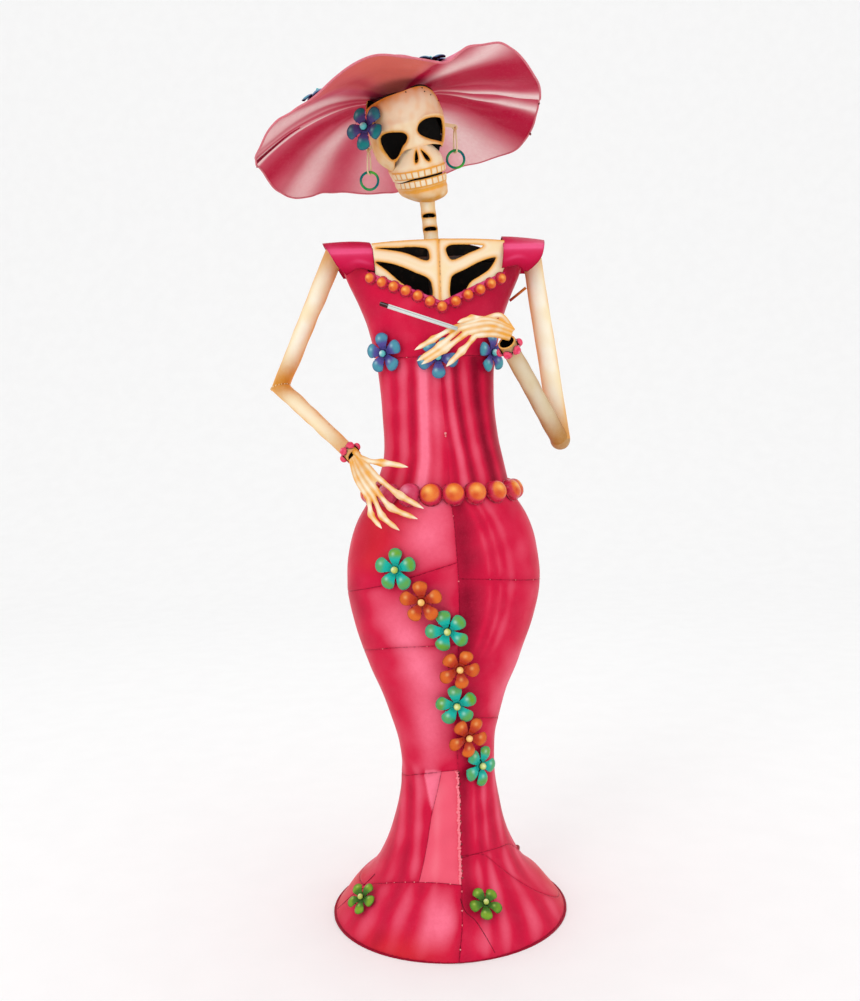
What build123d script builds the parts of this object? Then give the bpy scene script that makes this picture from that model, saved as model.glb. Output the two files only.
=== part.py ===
"""Standing catrina figure in painted sheet metal: skirt, bodice, skeleton arms, skull and wide wavy hat.

Frame: millimetres, +Z up, the figure faces -Y, the origin is the centre of the base plate's underside.
The figure's own right arm is at -X (hand on the hip), its left arm at +X (forearm raised in front).
"""

import math
import os

from build123d import *

# ---------------------------------------------------------------- driving dimensions
SHEET = 1.2  # wall of every formed sheet
SEAM = 0.5  # gap between two panels, bridged by weld spots
PLATE_R = 137.0  # base plate
PLATE_T = 1.5
ROD_R = 5.0  # inner spine
BAR_R = 4.0  # inner shoulder bar
BAR_Z = 757.0
BELT_Z = 490.0
BELT_DOME_R = 13.0
BELT_DOMES = 18
BELT_START = -50.5  # degrees from the front, the first dome
NECK_DOME_R = 5.8
WRIST_DOME_R = 4.4
NECK = [(2.0, -6.0, 770.5), (-5.5, -2.0, 866.0)]
NECK_R = 8.5
NECK_SLOTS = (789.0, 804.0)  # heights of the dark slots in the neck's front
SPINE_XY = (1.5, -6.0)
SPINE_TOP = 784.0
HEAD_AT = (-20.0, -12.0, 893.0)  # middle of the face, level with the eyes
HEAD_TURN = (18.0, -13.5, 8.0)  # nod, lean and turn in degrees
CRANIUM = (43.0, 50.0, 52.0)  # cranium half sizes
CRANIUM_AT = (0.0, 5.0, 18.0)
HAT_AT = (-33.0, 5.0, 940.0)  # centre of the crown's foot
HAT_LEAN = -8.0  # degrees, crown and inner edge
CROWN_R = 48.0
CROWN_H = 44.0
BRIM_R = 167.0
RING_R = 9.8  # earring hoop, to the wire's centre
RING_WIRE = 1.2
LINK_WIRE = 0.9
LINK_BEND = 4.2
LINK_LENGTH = 20.0  # between the centres of the link's two bends
EYELET_RIGHT = (-66.5, -10.0, 881.0)  # at the figure's right ear
EYELET_LEFT = (32.0, 0.0, 905.0)
LINK_TURN = 30.0  # the links' planes, in degrees from the YZ plane

# The dress outline: height, centre x, half width, half depth in front, half depth behind
DRESS = [
    (0, 0.0, 136, 136, 136),
    (30, 0.0, 113, 113, 113),
    (45, 0.0, 96, 96, 96),
    (60, 0.5, 84, 84, 84),
    (90, 1.0, 69.5, 69, 69),
    (130, 2.0, 59.5, 58, 58),
    (165, 2.5, 54.7, 52, 52),
    (200, 2.0, 56.5, 53, 53),
    (230, 1.0, 63.5, 57, 58),
    (260, 0.5, 73.3, 63, 65),
    (300, 1.0, 89.5, 72, 76),
    (345, 2.5, 104.6, 81, 87),
    (387, 3.5, 112.0, 85, 92),
    (430, 4.0, 108.0, 83, 88),
    (460, 5.0, 98.5, 76, 80),
    (490, 6.0, 84.0, 66, 68),
    (510, 7.0, 75.5, 60, 60),
    (530, 7.0, 69.0, 55, 54),
    (555, 5.5, 66.0, 52, 50),
    (600, 3.3, 65.3, 50, 48),
    (640, 2.5, 68.5, 51, 46),
    (680, 2.2, 76.5, 53, 46),
    (706, 2.0, 85.6, 53, 45),
    (742, 2.0, 101.0, 49, 42),
    (780, 2.0, 108.0, 37, 34),
]
CREASE = [(0, 2.5), (60, 8.0), (170, 11.0), (400, 9.5), (560, 5.0), (780, 5.0)]  # degrees from the front
RIDGE = [(0, 4.0), (170, 4.0), (400, 6.0), (560, 1.5), (780, 0.0)]  # how far the front ridge stands out
SQUARE = [(0, 2.0), (300, 2.1), (490, 2.2), (600, 2.5), (780, 2.6)]  # exponent of the section's superellipse


# ---------------------------------------------------------------- helpers
UPWARD = (Align.CENTER, Align.CENTER, Align.MIN)
WIDE = 600.0  # a block this large reaches past the whole figure


def smooth(table, z, column=1):
    """Catmull-Rom value of a table's column at height z."""
    rows = sorted(table)
    z = min(max(z, rows[0][0]), rows[-1][0])
    i = max(k for k in range(len(rows) - 1) if rows[k][0] <= z)

    def slope(k):
        low, high = max(k - 1, 0), min(k + 1, len(rows) - 1)
        return (rows[high][column] - rows[low][column]) / (rows[high][0] - rows[low][0])

    span = rows[i + 1][0] - rows[i][0]
    u = (z - rows[i][0]) / span
    start, end = rows[i][column], rows[i + 1][column]
    return (
        start * (2 * u**3 - 3 * u**2 + 1)
        + slope(i) * span * (u**3 - 2 * u**2 + u)
        + end * (3 * u**2 - 2 * u**3)
        + slope(i + 1) * span * (u**3 - u**2)
    )


def dress_angle(z, side, f):
    """Polar angle from the front, in radians, of fraction f from the crease (0) to the back seam (1)."""
    crease = math.radians(smooth(CREASE, z))
    return crease + f * (side * math.pi - crease)


def dress_xy(z, angle, inset=0.0):
    """Point of the dress surface at a height and polar angle, inset along the section's normal."""

    def raw(a):
        centre, width = smooth(DRESS, z), smooth(DRESS, z, 2)
        depth = smooth(DRESS, z, 3 if math.cos(a) > 0 else 4)
        n = smooth(SQUARE, z)
        r = (abs(math.sin(a) / width) ** n + abs(math.cos(a) / depth) ** n) ** (-1 / n)
        off = a - math.radians(smooth(CREASE, z))
        if math.cos(off) > 0:
            r += smooth(RIDGE, z) * (1 - abs(math.sin(off))) ** 2
        return Vector(centre + r * math.sin(a), -r * math.cos(a), z)

    here = raw(angle)
    if not inset:
        return here
    step = 0.004
    along = raw(angle + step) - raw(angle - step)
    normal = Vector(along.Y, -along.X, 0).normalized()
    return here - normal * (inset if normal.dot(Vector(math.sin(angle), -math.cos(angle), 0)) > 0 else -inset)


def dress_strip(side, f0, f1, z, inset=0.0, points=9):
    """One horizontal thin section of a dress panel, as a face."""
    gap = math.copysign(SEAM / 2 / 60.0, side)
    a0, a1 = dress_angle(z, side, f0), dress_angle(z, side, f1)
    a0, a1 = a0 + gap, a1 - gap
    angles = [a0 + (a1 - a0) * k / (points - 1) for k in range(points)]
    outer = Spline([dress_xy(z, a, inset) for a in angles])
    inner = Spline([dress_xy(z, a, inset + SHEET) for a in angles])
    ends = [Line(outer @ k, inner @ k) for k in (0, 1)]
    return make_face([outer, ends[1], inner, ends[0]])


def dress_panel(side, f0, f1, z0, z1, inset=0.0, steps=5):
    """A formed panel between two heights, on one side, from fraction f0 to f1 of the way round."""
    heights = [z0 + (z1 - z0) * k / (steps - 1) for k in range(steps)]
    return loft([dress_strip(side, f0, f1, z, inset) for z in heights])


def dress_frame(z, angle):
    """Point and outward normal of the dress surface at a height and polar angle."""
    around = dress_xy(z, angle + 0.02) - dress_xy(z, angle - 0.02)
    up = dress_xy(z + 4, angle) - dress_xy(z - 4, angle)
    return dress_xy(z, angle), around.cross(up).normalized()


def front_point(x, z):
    """Point and outward normal of the dress front at a given x and height."""
    low, high = -math.pi / 2, math.pi / 2
    for _ in range(40):
        mid = (low + high) / 2
        if dress_xy(z, mid).X < x:
            low = mid
        else:
            high = mid
    return dress_frame(z, low)


def dome(radius, height):
    """A stamped cup, open side down: a thin spherical cap standing on z = 0."""
    big = (radius**2 + height**2) / (2 * height)
    cap = Pos(0, 0, height - big) * (Sphere(big) - Sphere(big - SHEET))
    return cap & Pos(0, 0, height / 2) * Box(4 * radius, 4 * radius, height)


def facing(point, normal, spin=0.0, lift=0.0):
    """A location on a surface, its local z along the normal."""
    across = Vector(0, 0, 1).cross(normal).normalized()
    return Plane(origin=point + normal * lift, x_dir=across, z_dir=normal).location * Rot(0, 0, spin)


def flower(radius, sheet=SHEET):
    """A five petal blank stamped from sheet, flat side on z = 0, with a hole for its stud."""
    petal = Pos(radius * 0.65, 0) * Ellipse(radius * 0.35, radius * 0.29)
    neck = Pos(radius * 0.3, 0) * Rectangle(radius * 0.5, radius * 0.2)
    blank = Circle(radius * 0.27)
    for k in range(5):
        blank += Rot(0, 0, 72 * k + 90) * (petal + neck)
    return extrude(blank - Circle(radius * 0.07 + 0.1), sheet)


def stud(radius, lift, sheet=SHEET):
    """A ball headed stud for the flower's centre, its shank reaching down to the surface."""
    shank = radius * 0.07
    ball = radius * 0.15
    pin = Pos(0, 0, 0.4 - lift) * Cylinder(shank, lift + sheet + ball - 0.4, align=UPWARD)
    head = Pos(0, 0, sheet + ball * 0.75) * Sphere(ball)
    return pin + (head - Pos(0, 0, sheet - 5) * Box(40, 40, 10))


def tapered_tube(start, end, r0, r1, wall=SHEET, closed=False):
    """A rolled sheet tube between two points."""
    axis = Vector(*end) - Vector(*start)
    plane = Plane(origin=start, z_dir=axis)
    tube = loft([plane * Circle(r0), plane.offset(axis.length) * Circle(r1)])
    if closed:
        return tube
    core = loft(
        [plane.offset(-1) * Circle(r0 - wall), plane.offset(axis.length + 1) * Circle(r1 - wall)]
    )
    return tube - core


def half_space(point, normal):
    """A large block on the side that the normal points to."""
    return Plane(origin=point, z_dir=normal).location * Pos(0, 0, WIDE / 2) * Box(WIDE, WIDE, WIDE)


def outline(points, depth=200):
    """A prism along Y from a polygon of (x, z) points, centred on y = 0."""
    wire = Polyline([(x, 0, z) for x, z in points], close=True)
    return extrude(make_face(wire), depth, dir=(0, 1, 0), both=True)


# ---------------------------------------------------------------- base, spine and skirt
HEM, FLARE, KNEE, THIGH, WAIST, CHEST = 52.0, 165.0, 290.0, 388.0, BELT_Z, 632.0  # panel seams
GORE = 0.2  # the pale front strip's share of the right flare
HOOP_R, HOOP_WIRE = 123.0, 2.0  # stiffening hoop inside the hem
BAR_LENGTH = 196.0


def base_parts():
    plate = Pos(0, 0, PLATE_T / 2) * Cylinder(PLATE_R, PLATE_T)
    hoop = Pos(0, 0, PLATE_T + HOOP_WIRE + 0.1) * Torus(HOOP_R, HOOP_WIRE)
    spine = Pos(*SPINE_XY, PLATE_T) * Cylinder(ROD_R, SPINE_TOP - PLATE_T, align=UPWARD)
    bar = Pos(2, SPINE_XY[1] + ROD_R + BAR_R, BAR_Z) * Rot(0, 90, 0) * Cylinder(BAR_R, BAR_LENGTH)
    return {"base_plate": plate, "hem_hoop": hoop, "spine_rod": spine, "shoulder_bar": bar}


def skirt_parts():
    parts = {}
    for side, name in ((-1, "right"), (1, "left")):
        parts[f"hem_band_{name}"] = dress_panel(side, 0, 1, PLATE_T, HEM - SEAM)
        start = GORE if side < 0 else 0
        parts[f"skirt_flare_{name}"] = dress_panel(side, start, 1, HEM, FLARE - SEAM)
        parts[f"skirt_knee_{name}"] = dress_panel(side, 0, 1, FLARE, KNEE - SEAM)
        parts[f"skirt_thigh_{name}"] = dress_panel(side, 0, 1, KNEE, THIGH - SEAM)
        parts[f"skirt_hip_{name}"] = dress_panel(side, 0, 1, THIGH, WAIST - SEAM)
        parts[f"waist_{name}"] = dress_panel(side, 0, 1, WAIST, CHEST - SEAM)
    parts["skirt_gore_front"] = dress_panel(-1, 0, GORE, HEM, FLARE - SEAM)
    return parts


# ---------------------------------------------------------------- bodice, ribs and sleeves
NECKLINE = [(-70.0, 737.5), (10.6, 701.0), (80.0, 733.5)]  # V neck, (x, z)
SHOULDER_Z = 778.0
ARMPIT_Z = 745.0  # the front panels end here, beside the V neck
SLEEVE_Z, SLEEVE_Y, SLEEVE_H = 735.0, 44.0, 45.0  # the sleeves' arch: centre height, half depth, half height
SLEEVES = {
    "right": [(-73, 790), (-125, 777.5), (-94, 736.5), (-62.5, 737.5)],
    "left": [(82, 790), (134, 774.5), (109, 735.5), (78, 733.5)],
}
NECK_DOMES = [(-67, 731), (-54, 725), (-41.5, 719.5), (-28.5, 714), (-15.5, 708), (-2.5, 701.5)]
NECK_DOMES += [(10.5, 695.7), (25.5, 701), (39, 708), (52.5, 714), (64.5, 720.5), (76, 727)]
RIB_INSET = 2.0  # the rib plate lies this far under the dress outline
RIB_FOOT = 694.0
# The rib plate's windows on its left half, (x, z) with x from the sternum's middle
RIB_WINDOWS = [
    [(9, 771), (9, 762), (18, 758), (62, 772)],
    [(8, 716), (9, 741), (20, 748), (62, 758), (54, 748)],
]
STERNUM_X = 7.6


def sleeve_hole(name, grow):
    """The region that a sleeve cap takes up, seen from the front, as a prism."""
    side = -1 if name == "right" else 1
    points = SLEEVES[name]
    moves = [(-side * grow, 0), (side * 40, 0), (side * 40, -grow), (-side * grow, -grow)]
    return outline([(x + dx, z + dz) for (x, z), (dx, dz) in zip(points, moves)])


def bodice_parts():
    low, mid, high = NECKLINE
    vee = outline([low, mid, high, (high[0], 810), (low[0], 810)])
    front = [dress_panel(side, 0, 0.5, CHEST, ARMPIT_Z) for side in (-1, 1)]
    back = [dress_panel(side, 0.5, 1, CHEST, SHOULDER_Z - 8) for side in (-1, 1)]
    plate = [dress_panel(side, 0, 0.36, RIB_FOOT, SHOULDER_Z, inset=RIB_INSET) for side in (-1, 1)]
    for name in SLEEVES:
        hole = sleeve_hole(name, 0.6)
        front = [panel - hole - vee for panel in front]
        back = [panel - hole for panel in back]
        plate = [half - hole for half in plate]

    # The rib plate shows through the V neck: a sternum, a collar bar and two ribs on each side
    for points in RIB_WINDOWS:
        for side in (-1, 1):
            window = outline([(STERNUM_X + side * x, z) for x, z in points])
            plate = [half - window for half in plate]
    parts = {
        "bodice_front_right": front[0],
        "bodice_front_left": front[1],
        "bodice_back_right": back[0],
        "bodice_back_left": back[1],
        "rib_plate_right": plate[0],
        "rib_plate_left": plate[1],
    }

    arch = Ellipse(SLEEVE_Y, SLEEVE_H) - Ellipse(SLEEVE_Y - SHEET, SLEEVE_H - SHEET)
    band = extrude(Plane(origin=(0, 0, SLEEVE_Z), x_dir=(0, 1, 0), z_dir=(1, 0, 0)) * arch, 200, both=True)
    for name, points in SLEEVES.items():
        parts[f"sleeve_cap_{name}"] = band & outline(points)

    tube = tapered_tube(*NECK, NECK_R, NECK_R)
    slot = Rot(90, 0, 0) * extrude(Ellipse(8, 2.2), 4.5, both=True)
    for z in NECK_SLOTS:
        tube -= Pos(0, NECK[0][1] - NECK_R - 0.5, z) * slot
    parts["neck_tube"] = tube - head() * grown_cranium(0.4)

    domes = [facing(*front_point(x, z), lift=0.6) * dome(NECK_DOME_R, 5.0) for x, z in NECK_DOMES]
    parts["necklace_domes"] = Compound(domes)
    return parts


def belt_parts():
    domes = []
    for k in range(BELT_DOMES):
        angle = math.radians(BELT_START + 360 / BELT_DOMES * k)
        domes.append(facing(*dress_frame(BELT_Z, angle), lift=2.2) * dome(BELT_DOME_R, 11.0))
    return {"belt_domes": Compound(domes)}


# ---------------------------------------------------------------- flowers
SKIRT_FLOWERS = [  # (x, z, spin)
    (-47, 410.5, 0), (-19.5, 377.5, 2), (6, 344.5, 17), (16, 303.5, -25), (13, 258.5, 5),
    (21.5, 220.5, -33), (36, 181.5, -27),
]
BODICE_FLOWERS = [(-53, 648.5, 12), (4.5, 641, 0), (62, 646.5, 0)]  # (x, z, turned to the front)
HEM_FLOWERS = [(-60.8, 32.4, 20), (20.5, 41.5, 0)]  # (degrees from the front, z, turned to the front)
TEMPLE_FLOWER = ((-68.5, -44.0, 896.0), (-0.5, -0.86, 0.05))  # point, normal
HAT_FLOWERS = [(-33, 149), (17, 146)]  # (degrees from the front, radius)
SKIRT_R, BODICE_R, HEM_R, TEMPLE_R, HAT_R = 23.0, 19.5, 19.0, 23.0, 21.0  # centre to petal tip
LOW_LIFT, HIGH_LIFT = 5.0, 10.2  # neighbouring skirt flowers overlap, so every second one stands higher
HEM_LIFT = 7.0


def flower_parts():
    groups = {}

    def plant(where, radius, lift, group, studs="small_studs"):
        groups.setdefault(group, []).append(where * flower(radius))
        groups.setdefault(studs, []).append(where * stud(radius, lift))

    for k, (x, z, spin) in enumerate(SKIRT_FLOWERS):
        lift, colour = ((LOW_LIFT, "turquoise"), (HIGH_LIFT, "orange"))[k % 2]
        where = facing(*front_point(x, z), spin=spin, lift=lift)
        plant(where, SKIRT_R, lift, f"skirt_flowers_{colour}", "skirt_studs")
    for k, (x, z, turn) in enumerate(BODICE_FLOWERS):
        point, normal = front_point(x, z)
        where = facing(point, normal.rotate(Axis.Z, turn), spin=30 * k, lift=LOW_LIFT)
        plant(where, BODICE_R, LOW_LIFT, "bodice_flowers")
    for degrees, z, turn in HEM_FLOWERS:
        point, normal = dress_frame(z, math.radians(degrees))
        where = facing(point, normal.rotate(Axis.Z, turn), lift=HEM_LIFT)
        plant(where, HEM_R, HEM_LIFT, "hem_flowers")
    point, normal = TEMPLE_FLOWER
    plant(facing(Vector(*point), Vector(*normal).normalized(), spin=10), TEMPLE_R, 6.0, "temple_flower")
    for degrees, radius in HAT_FLOWERS:
        where = facing(*brim_frame(math.radians(degrees), radius), spin=20, lift=SHEET + 4.4)
        plant(where, HAT_R, 4.0, "hat_flowers")
    return {name: Compound(shapes) for name, shapes in groups.items()}


# ---------------------------------------------------------------- arms and hands
ARM_RIGHT = [(-112, 0, 762), (-188, 70, 621), (-92, -50, 535)]  # shoulder, elbow, wrist
ARM_LEFT = [(117, 0, 747), (143, -5, 546), (75, -120, 648)]
RIGHT_PALM = [(-93, -50, 534), (-64, -78, 513), (-76, -77, 485), (-98, -49, 531), (-90, -50, 539)]
RIGHT_FINGERS = [
    [(-86, -60, 530), (-54, -77, 527), (-31.5, -80, 522)],
    [(-66, -78, 511), (-44, -81, 495), (-16, -80, 477)],
    [(-69, -78, 501), (-52, -81, 478.5), (-23, -80, 465)],
    [(-72, -78, 493), (-61, -82, 468), (-43, -85, 453.5)],
    [(-75, -77, 488), (-74, -82, 476), (-63, -86, 456)],
]
LEFT_PALM = [(80, -116, 652), (19, -128, 663), (43, -128, 651), (62, -124, 677), (81, -113, 664)]
LEFT_FINGERS = [
    [(60, -113, 668), (41, -130, 674.5), (24, -136, 672)],
    [(22, -128, 662), (4, -127, 652), (-20, -124, 642)],
    [(31, -128, 659), (7.5, -127, 646), (-18, -124, 631)],
    [(36.5, -128, 655), (11, -127, 639), (-13, -124, 624)],
    [(44, -128, 653), (32, -127, 642), (13, -124, 622)],
]
FINGER_R = (3.0, 2.2)  # root and tip
PALM_T = 3.0
CIGARETTE = [(-54, -136, 689.5), (23, -136, 661.5)]
CIGARETTE_R = 2.3
STAY = [(91, 6, 709), (108.2, 1, 722)]  # rod between the bodice and the left arm
STAY_R = 1.5
# Radii of the rolled tubes at their two ends
UPPER_RIGHT, FORE_RIGHT = (11.2, 10.0), (10.0, 8.0)
UPPER_LEFT, FORE_LEFT = (10.5, 11.5), (10.5, 9.0)
OVERRUN = 22.0  # how far a tube runs past the elbow before it is mitred
WRIST_DOMES = 6


def polygon_plate(points, thickness):
    """A flat plate through the first three points, its outline the projection of all of them."""
    a, b, c = (Vector(*p) for p in points[:3])
    plane = Plane(origin=a, x_dir=b - a, z_dir=(b - a).cross(c - a))
    flat = [plane.to_local_coords(Vector(*p)) for p in points]
    middle = sum(flat, Vector()) / len(flat)
    flat.sort(key=lambda p: math.atan2(p.Y - middle.Y, p.X - middle.X))
    face = make_face(Polyline([(p.X, p.Y) for p in flat], close=True))
    return extrude(plane * face, thickness / 2, both=True)


def bone(points, radii):
    """A finger bone or cheekbone: one smooth tapered rod through three points."""
    start, middle, end = (Vector(*p) for p in points)
    path = Spline(start, middle, end)
    sections = []
    for t in (0.0, 0.25, 0.5, 0.75, 1.0):
        radius = radii[0] + (radii[1] - radii[0]) * t
        sections.append(Plane(origin=path @ t, z_dir=path % t) * Circle(radius))
    return loft(sections)


def hand(palm, fingers, wrist_tube):
    """A palm plate with its finger bones, cut clear of the forearm tube."""
    shape = polygon_plate(palm, PALM_T)
    for chain in fingers:
        shape += bone(chain, FINGER_R)
    return shape - wrist_tube


def bracelet(elbow, wrist, radius):
    """Small domes round a forearm, just above the wrist."""
    axis = (wrist - elbow).normalized()
    front = Vector(0, -1, 0)
    ring = Plane(origin=wrist - axis * 8, x_dir=front - axis * axis.dot(front), z_dir=axis)
    beads = []
    for k in range(WRIST_DOMES):
        angle = math.radians(360 / WRIST_DOMES * k + 20)
        out = ring.x_dir * math.cos(angle) + ring.y_dir * math.sin(angle)
        seat = Plane(origin=ring.origin + out * (radius + 1.3), x_dir=axis, z_dir=out)
        beads.append(seat.location * dome(WRIST_DOME_R, 4.0))
    return Compound(beads)


def arm_parts():
    parts = {}
    shoulder, elbow, wrist = (Vector(*p) for p in ARM_RIGHT)
    down, fore = (elbow - shoulder).normalized(), (wrist - elbow).normalized()
    mitre = (down + fore).normalized()
    upper = tapered_tube(shoulder, elbow + down * OVERRUN, *UPPER_RIGHT)
    lower = tapered_tube(elbow - fore * OVERRUN, wrist, *FORE_RIGHT)
    parts["upper_arm_right"] = upper - half_space(elbow - mitre * SEAM / 2, mitre)
    parts["forearm_right"] = lower - half_space(elbow + mitre * SEAM / 2, mitre * -1)
    grown = [radius + 0.4 for radius in FORE_RIGHT]
    parts["hand_right"] = hand(RIGHT_PALM, RIGHT_FINGERS, tapered_tube(elbow, wrist, *grown, closed=True))
    parts["bracelet_right"] = bracelet(elbow, wrist, grown[1])

    shoulder, elbow, wrist = (Vector(*p) for p in ARM_LEFT)
    down = (elbow - shoulder).normalized()
    ball_r = UPPER_LEFT[1]
    ball = Pos(*elbow) * (Sphere(ball_r) - Sphere(ball_r - SHEET)) - half_space(elbow, down * -1)
    grown = [radius + 0.4 for radius in UPPER_LEFT]
    solid = tapered_tube(shoulder, elbow, *grown, closed=True) + Pos(*elbow) * Sphere(grown[1])
    parts["upper_arm_left"] = tapered_tube(shoulder, elbow, *UPPER_LEFT) + ball
    parts["forearm_left"] = tapered_tube(elbow, wrist, *FORE_LEFT) - solid
    grown = [radius + 0.4 for radius in FORE_LEFT]
    parts["hand_left"] = hand(LEFT_PALM, LEFT_FINGERS, tapered_tube(elbow, wrist, *grown, closed=True))
    parts["bracelet_left"] = bracelet(elbow, wrist, grown[1])

    parts["cigarette"] = tapered_tube(*CIGARETTE, CIGARETTE_R, CIGARETTE_R, closed=True)
    parts["arm_stay"] = tapered_tube(*STAY, STAY_R, STAY_R, closed=True)
    return parts


# ---------------------------------------------------------------- skull
# In the head's own frame: x to its left, y to the back, z up
FACE_SPLIT = 8.0  # y of the seam between the face and the back of the skull
EYES = [
    [(-34, 7), (-33, -3), (-26, -13), (-19, -14), (-12, -6), (-6, 7), (-8, 13), (-20, 15)],
    [(8, 7), (14, -5), (22, -10), (33, -6), (35, 5), (30, 15), (20, 17), (11, 14)],
]
NOSE = [(2, -14), (4.5, -13), (7.5, -24), (3.5, -25)]  # the left one of two slots
BELOW_FACE = [(-60, -16), (-30, -22), (0, -8), (30, -22), (60, -16), (60, -60), (-60, -60)]
JAW_BACK = 6.0  # y of both jaws' rear ends
MUZZLE = [(17, -43.5, -12), (25, -46, -24), (29, -44, -41)]  # half width, front y, height
LOWER_JAW = [(28.5, -42, -46), (27, -42.5, -58), (22, -40, -68), (17, -36, -73)]
TEETH = {"teeth_upper": (31.8, 52.9, -38.4), "teeth_lower": (31.3, 50.9, -48.6)}  # half width, depth, height
TEETH_EACH = 10
CHEEKBONE = [(17, -49, -17), (31, -37, -19), (41, -14, -11)]


def head():
    """The head's location: nod about X, lean about Y, turn about Z."""
    nod, lean, turn = HEAD_TURN
    return Pos(*HEAD_AT) * Rot(0, 0, turn) * Rot(0, lean, 0) * Rot(nod, 0, 0)


def ellipsoid(a, b, c):
    return scale(Sphere(1), by=(a, b, c))


def grown_cranium(extra):
    """The whole cranium as a solid, larger by extra all round, in the head's frame."""
    return Pos(*CRANIUM_AT) * ellipsoid(*(size + extra for size in CRANIUM))


def jaw_section(half_width, front, z):
    """A U shaped strip, open to the back, at a height in the head's frame."""
    turns = [math.radians(a) for a in range(-90, 91, 15)]

    def curve(width, depth):
        return Spline([(width * math.sin(t), JAW_BACK - depth * math.cos(t), z) for t in turns])

    outer = curve(half_width, JAW_BACK - front)
    inner = curve(half_width - SHEET, JAW_BACK - front - SHEET)
    return make_face([outer, Line(outer @ 1, inner @ 1), inner, Line(inner @ 0, outer @ 0)])


def skull_parts():
    front_half = Pos(0, -100, 0) * Box(200, 200, 200)
    shell = grown_cranium(0) - grown_cranium(-SHEET)
    face = shell & Pos(0, FACE_SPLIT - SEAM / 2 - 100, 0) * Box(400, 200, 400)
    back = shell & Pos(0, FACE_SPLIT + SEAM / 2 + 100, 0) * Box(400, 200, 400)
    for points in EYES:
        face -= outline(points) & front_half
    face -= outline(BELOW_FACE)

    muzzle = loft([jaw_section(*row) for row in MUZZLE])
    for side in (-1, 1):
        muzzle -= outline([(side * x, z) for x, z in NOSE]) & front_half
    shapes = {"upper_jaw": muzzle - grown_cranium(0.4)}
    shapes["lower_jaw"] = loft([jaw_section(*row) for row in LOWER_JAW])

    for name, (half_width, depth, z) in TEETH.items():
        teeth = []
        for k in range(TEETH_EACH):
            turn = math.radians(15 * k - 67.5)
            spot = Pos(half_width * math.sin(turn), JAW_BACK - depth * math.cos(turn), z)
            teeth.append(spot * Rot(0, 0, math.degrees(turn)) * Box(6.2, 2.2, 8.0))
        shapes[name] = Compound(teeth)

    cheeks = [bone([(side * x, y, z) for x, y, z in CHEEKBONE], (3.2, 2.4)) for side in (-1, 1)]
    shapes["cheekbones"] = Compound([cheek - grown_cranium(0.4) for cheek in cheeks])

    # The hat sits on the skull, so the cranium ends a little under the hat's plane
    hat = Pos(*HAT_AT) * Rot(0, HAT_LEAN, 0) * Pos(0, 0, WIDE / 2 - 6) * Box(WIDE, WIDE, WIDE)
    parts = {name: head() * shape for name, shape in shapes.items()}
    parts["skull_face"] = head() * face - hat
    parts["skull_back"] = head() * back - hat
    return parts


def earring_parts():
    parts = {}
    eyelets = []
    cranium = head() * grown_cranium(0.3)
    for name, at, side in (("right", EYELET_RIGHT, -1), ("left", EYELET_LEFT, 1)):
        across = Pos(*at) * Rot(0, 0, LINK_TURN * side)
        tab = Rot(90, 0, 0) * Cylinder(3.4, 1.2) + Pos(-side * 10, 0, 1.2) * Box(20, 1.2, 4.0)
        tab -= Rot(90, 0, 0) * Cylinder(1.6, 10)
        eyelets.append(across * tab - cranium)
        half = LINK_LENGTH / 2
        bend = Rot(90, 0, 0) * Torus(LINK_BEND, LINK_WIRE)
        link = Pos(0, 0, half) * (bend & Pos(0, 0, 10) * Box(20, 20, 20))
        link += Pos(0, 0, -half) * (bend & Pos(0, 0, -10) * Box(20, 20, 20))
        for x in (-LINK_BEND, LINK_BEND):
            link += Pos(x, 0, 0) * Cylinder(LINK_WIRE, LINK_LENGTH)
        parts[f"earring_link_{name}"] = across * Rot(0, 0, 90) * Pos(0, 0, -half - LINK_BEND) * link
        top = at[2] - LINK_LENGTH - 2 * LINK_BEND + LINK_WIRE + RING_WIRE + 0.5
        hoop = Rot(90, 0, 0) * Torus(RING_R, RING_WIRE)
        parts[f"earring_ring_{name}"] = Pos(at[0], at[1], top - RING_R) * hoop
    parts["ear_eyelets"] = Compound(eyelets)
    return parts


# ---------------------------------------------------------------- hat
# The brim's outer edge: angle from the front towards +X in degrees, height
BRIM_EDGE = [
    (-85, 867), (-69, 861), (-49, 881), (-33, 888), (-20, 908), (-7, 925), (5, 923), (16, 921), (28, 937),
    (40, 950), (54, 942), (63, 929), (80, 937), (95, 944), (104, 933), (122, 907), (140, 905), (159, 898),
    (179, 879), (199, 876), (217, 870), (233, 857), (248, 859), (264, 870), (275, 867),
]
BRIM_SEAM = 180.3  # degrees from the front, where the brim's strip starts
BRIM_GAP = 0.6  # degrees, and mm between the brim and the crown
BRIM_STEPS = 36


def brim_height(angle, radius):
    """Height of the brim's underside."""
    degrees = (math.degrees(angle) + 85) % 360 - 85
    edge = smooth(BRIM_EDGE, degrees)
    inner = HAT_AT[2] - CROWN_R * math.sin(angle) * math.tan(math.radians(HAT_LEAN))
    s = (radius - CROWN_R) / (BRIM_R - CROWN_R)
    return inner + (edge - inner) * (0.35 * s + 0.65 * s * s)


def brim_xyz(angle, radius, lift=0.0):
    x, y = HAT_AT[0] + radius * math.sin(angle), HAT_AT[1] - radius * math.cos(angle)
    return Vector(x, y, brim_height(angle, radius) + lift)


def brim_frame(angle, radius):
    """Point and upward normal of the brim."""
    out = brim_xyz(angle, radius + 1) - brim_xyz(angle, radius - 1)
    round_ = brim_xyz(angle + 0.01, radius) - brim_xyz(angle - 0.01, radius)
    return brim_xyz(angle, radius), out.cross(round_).normalized()


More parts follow.
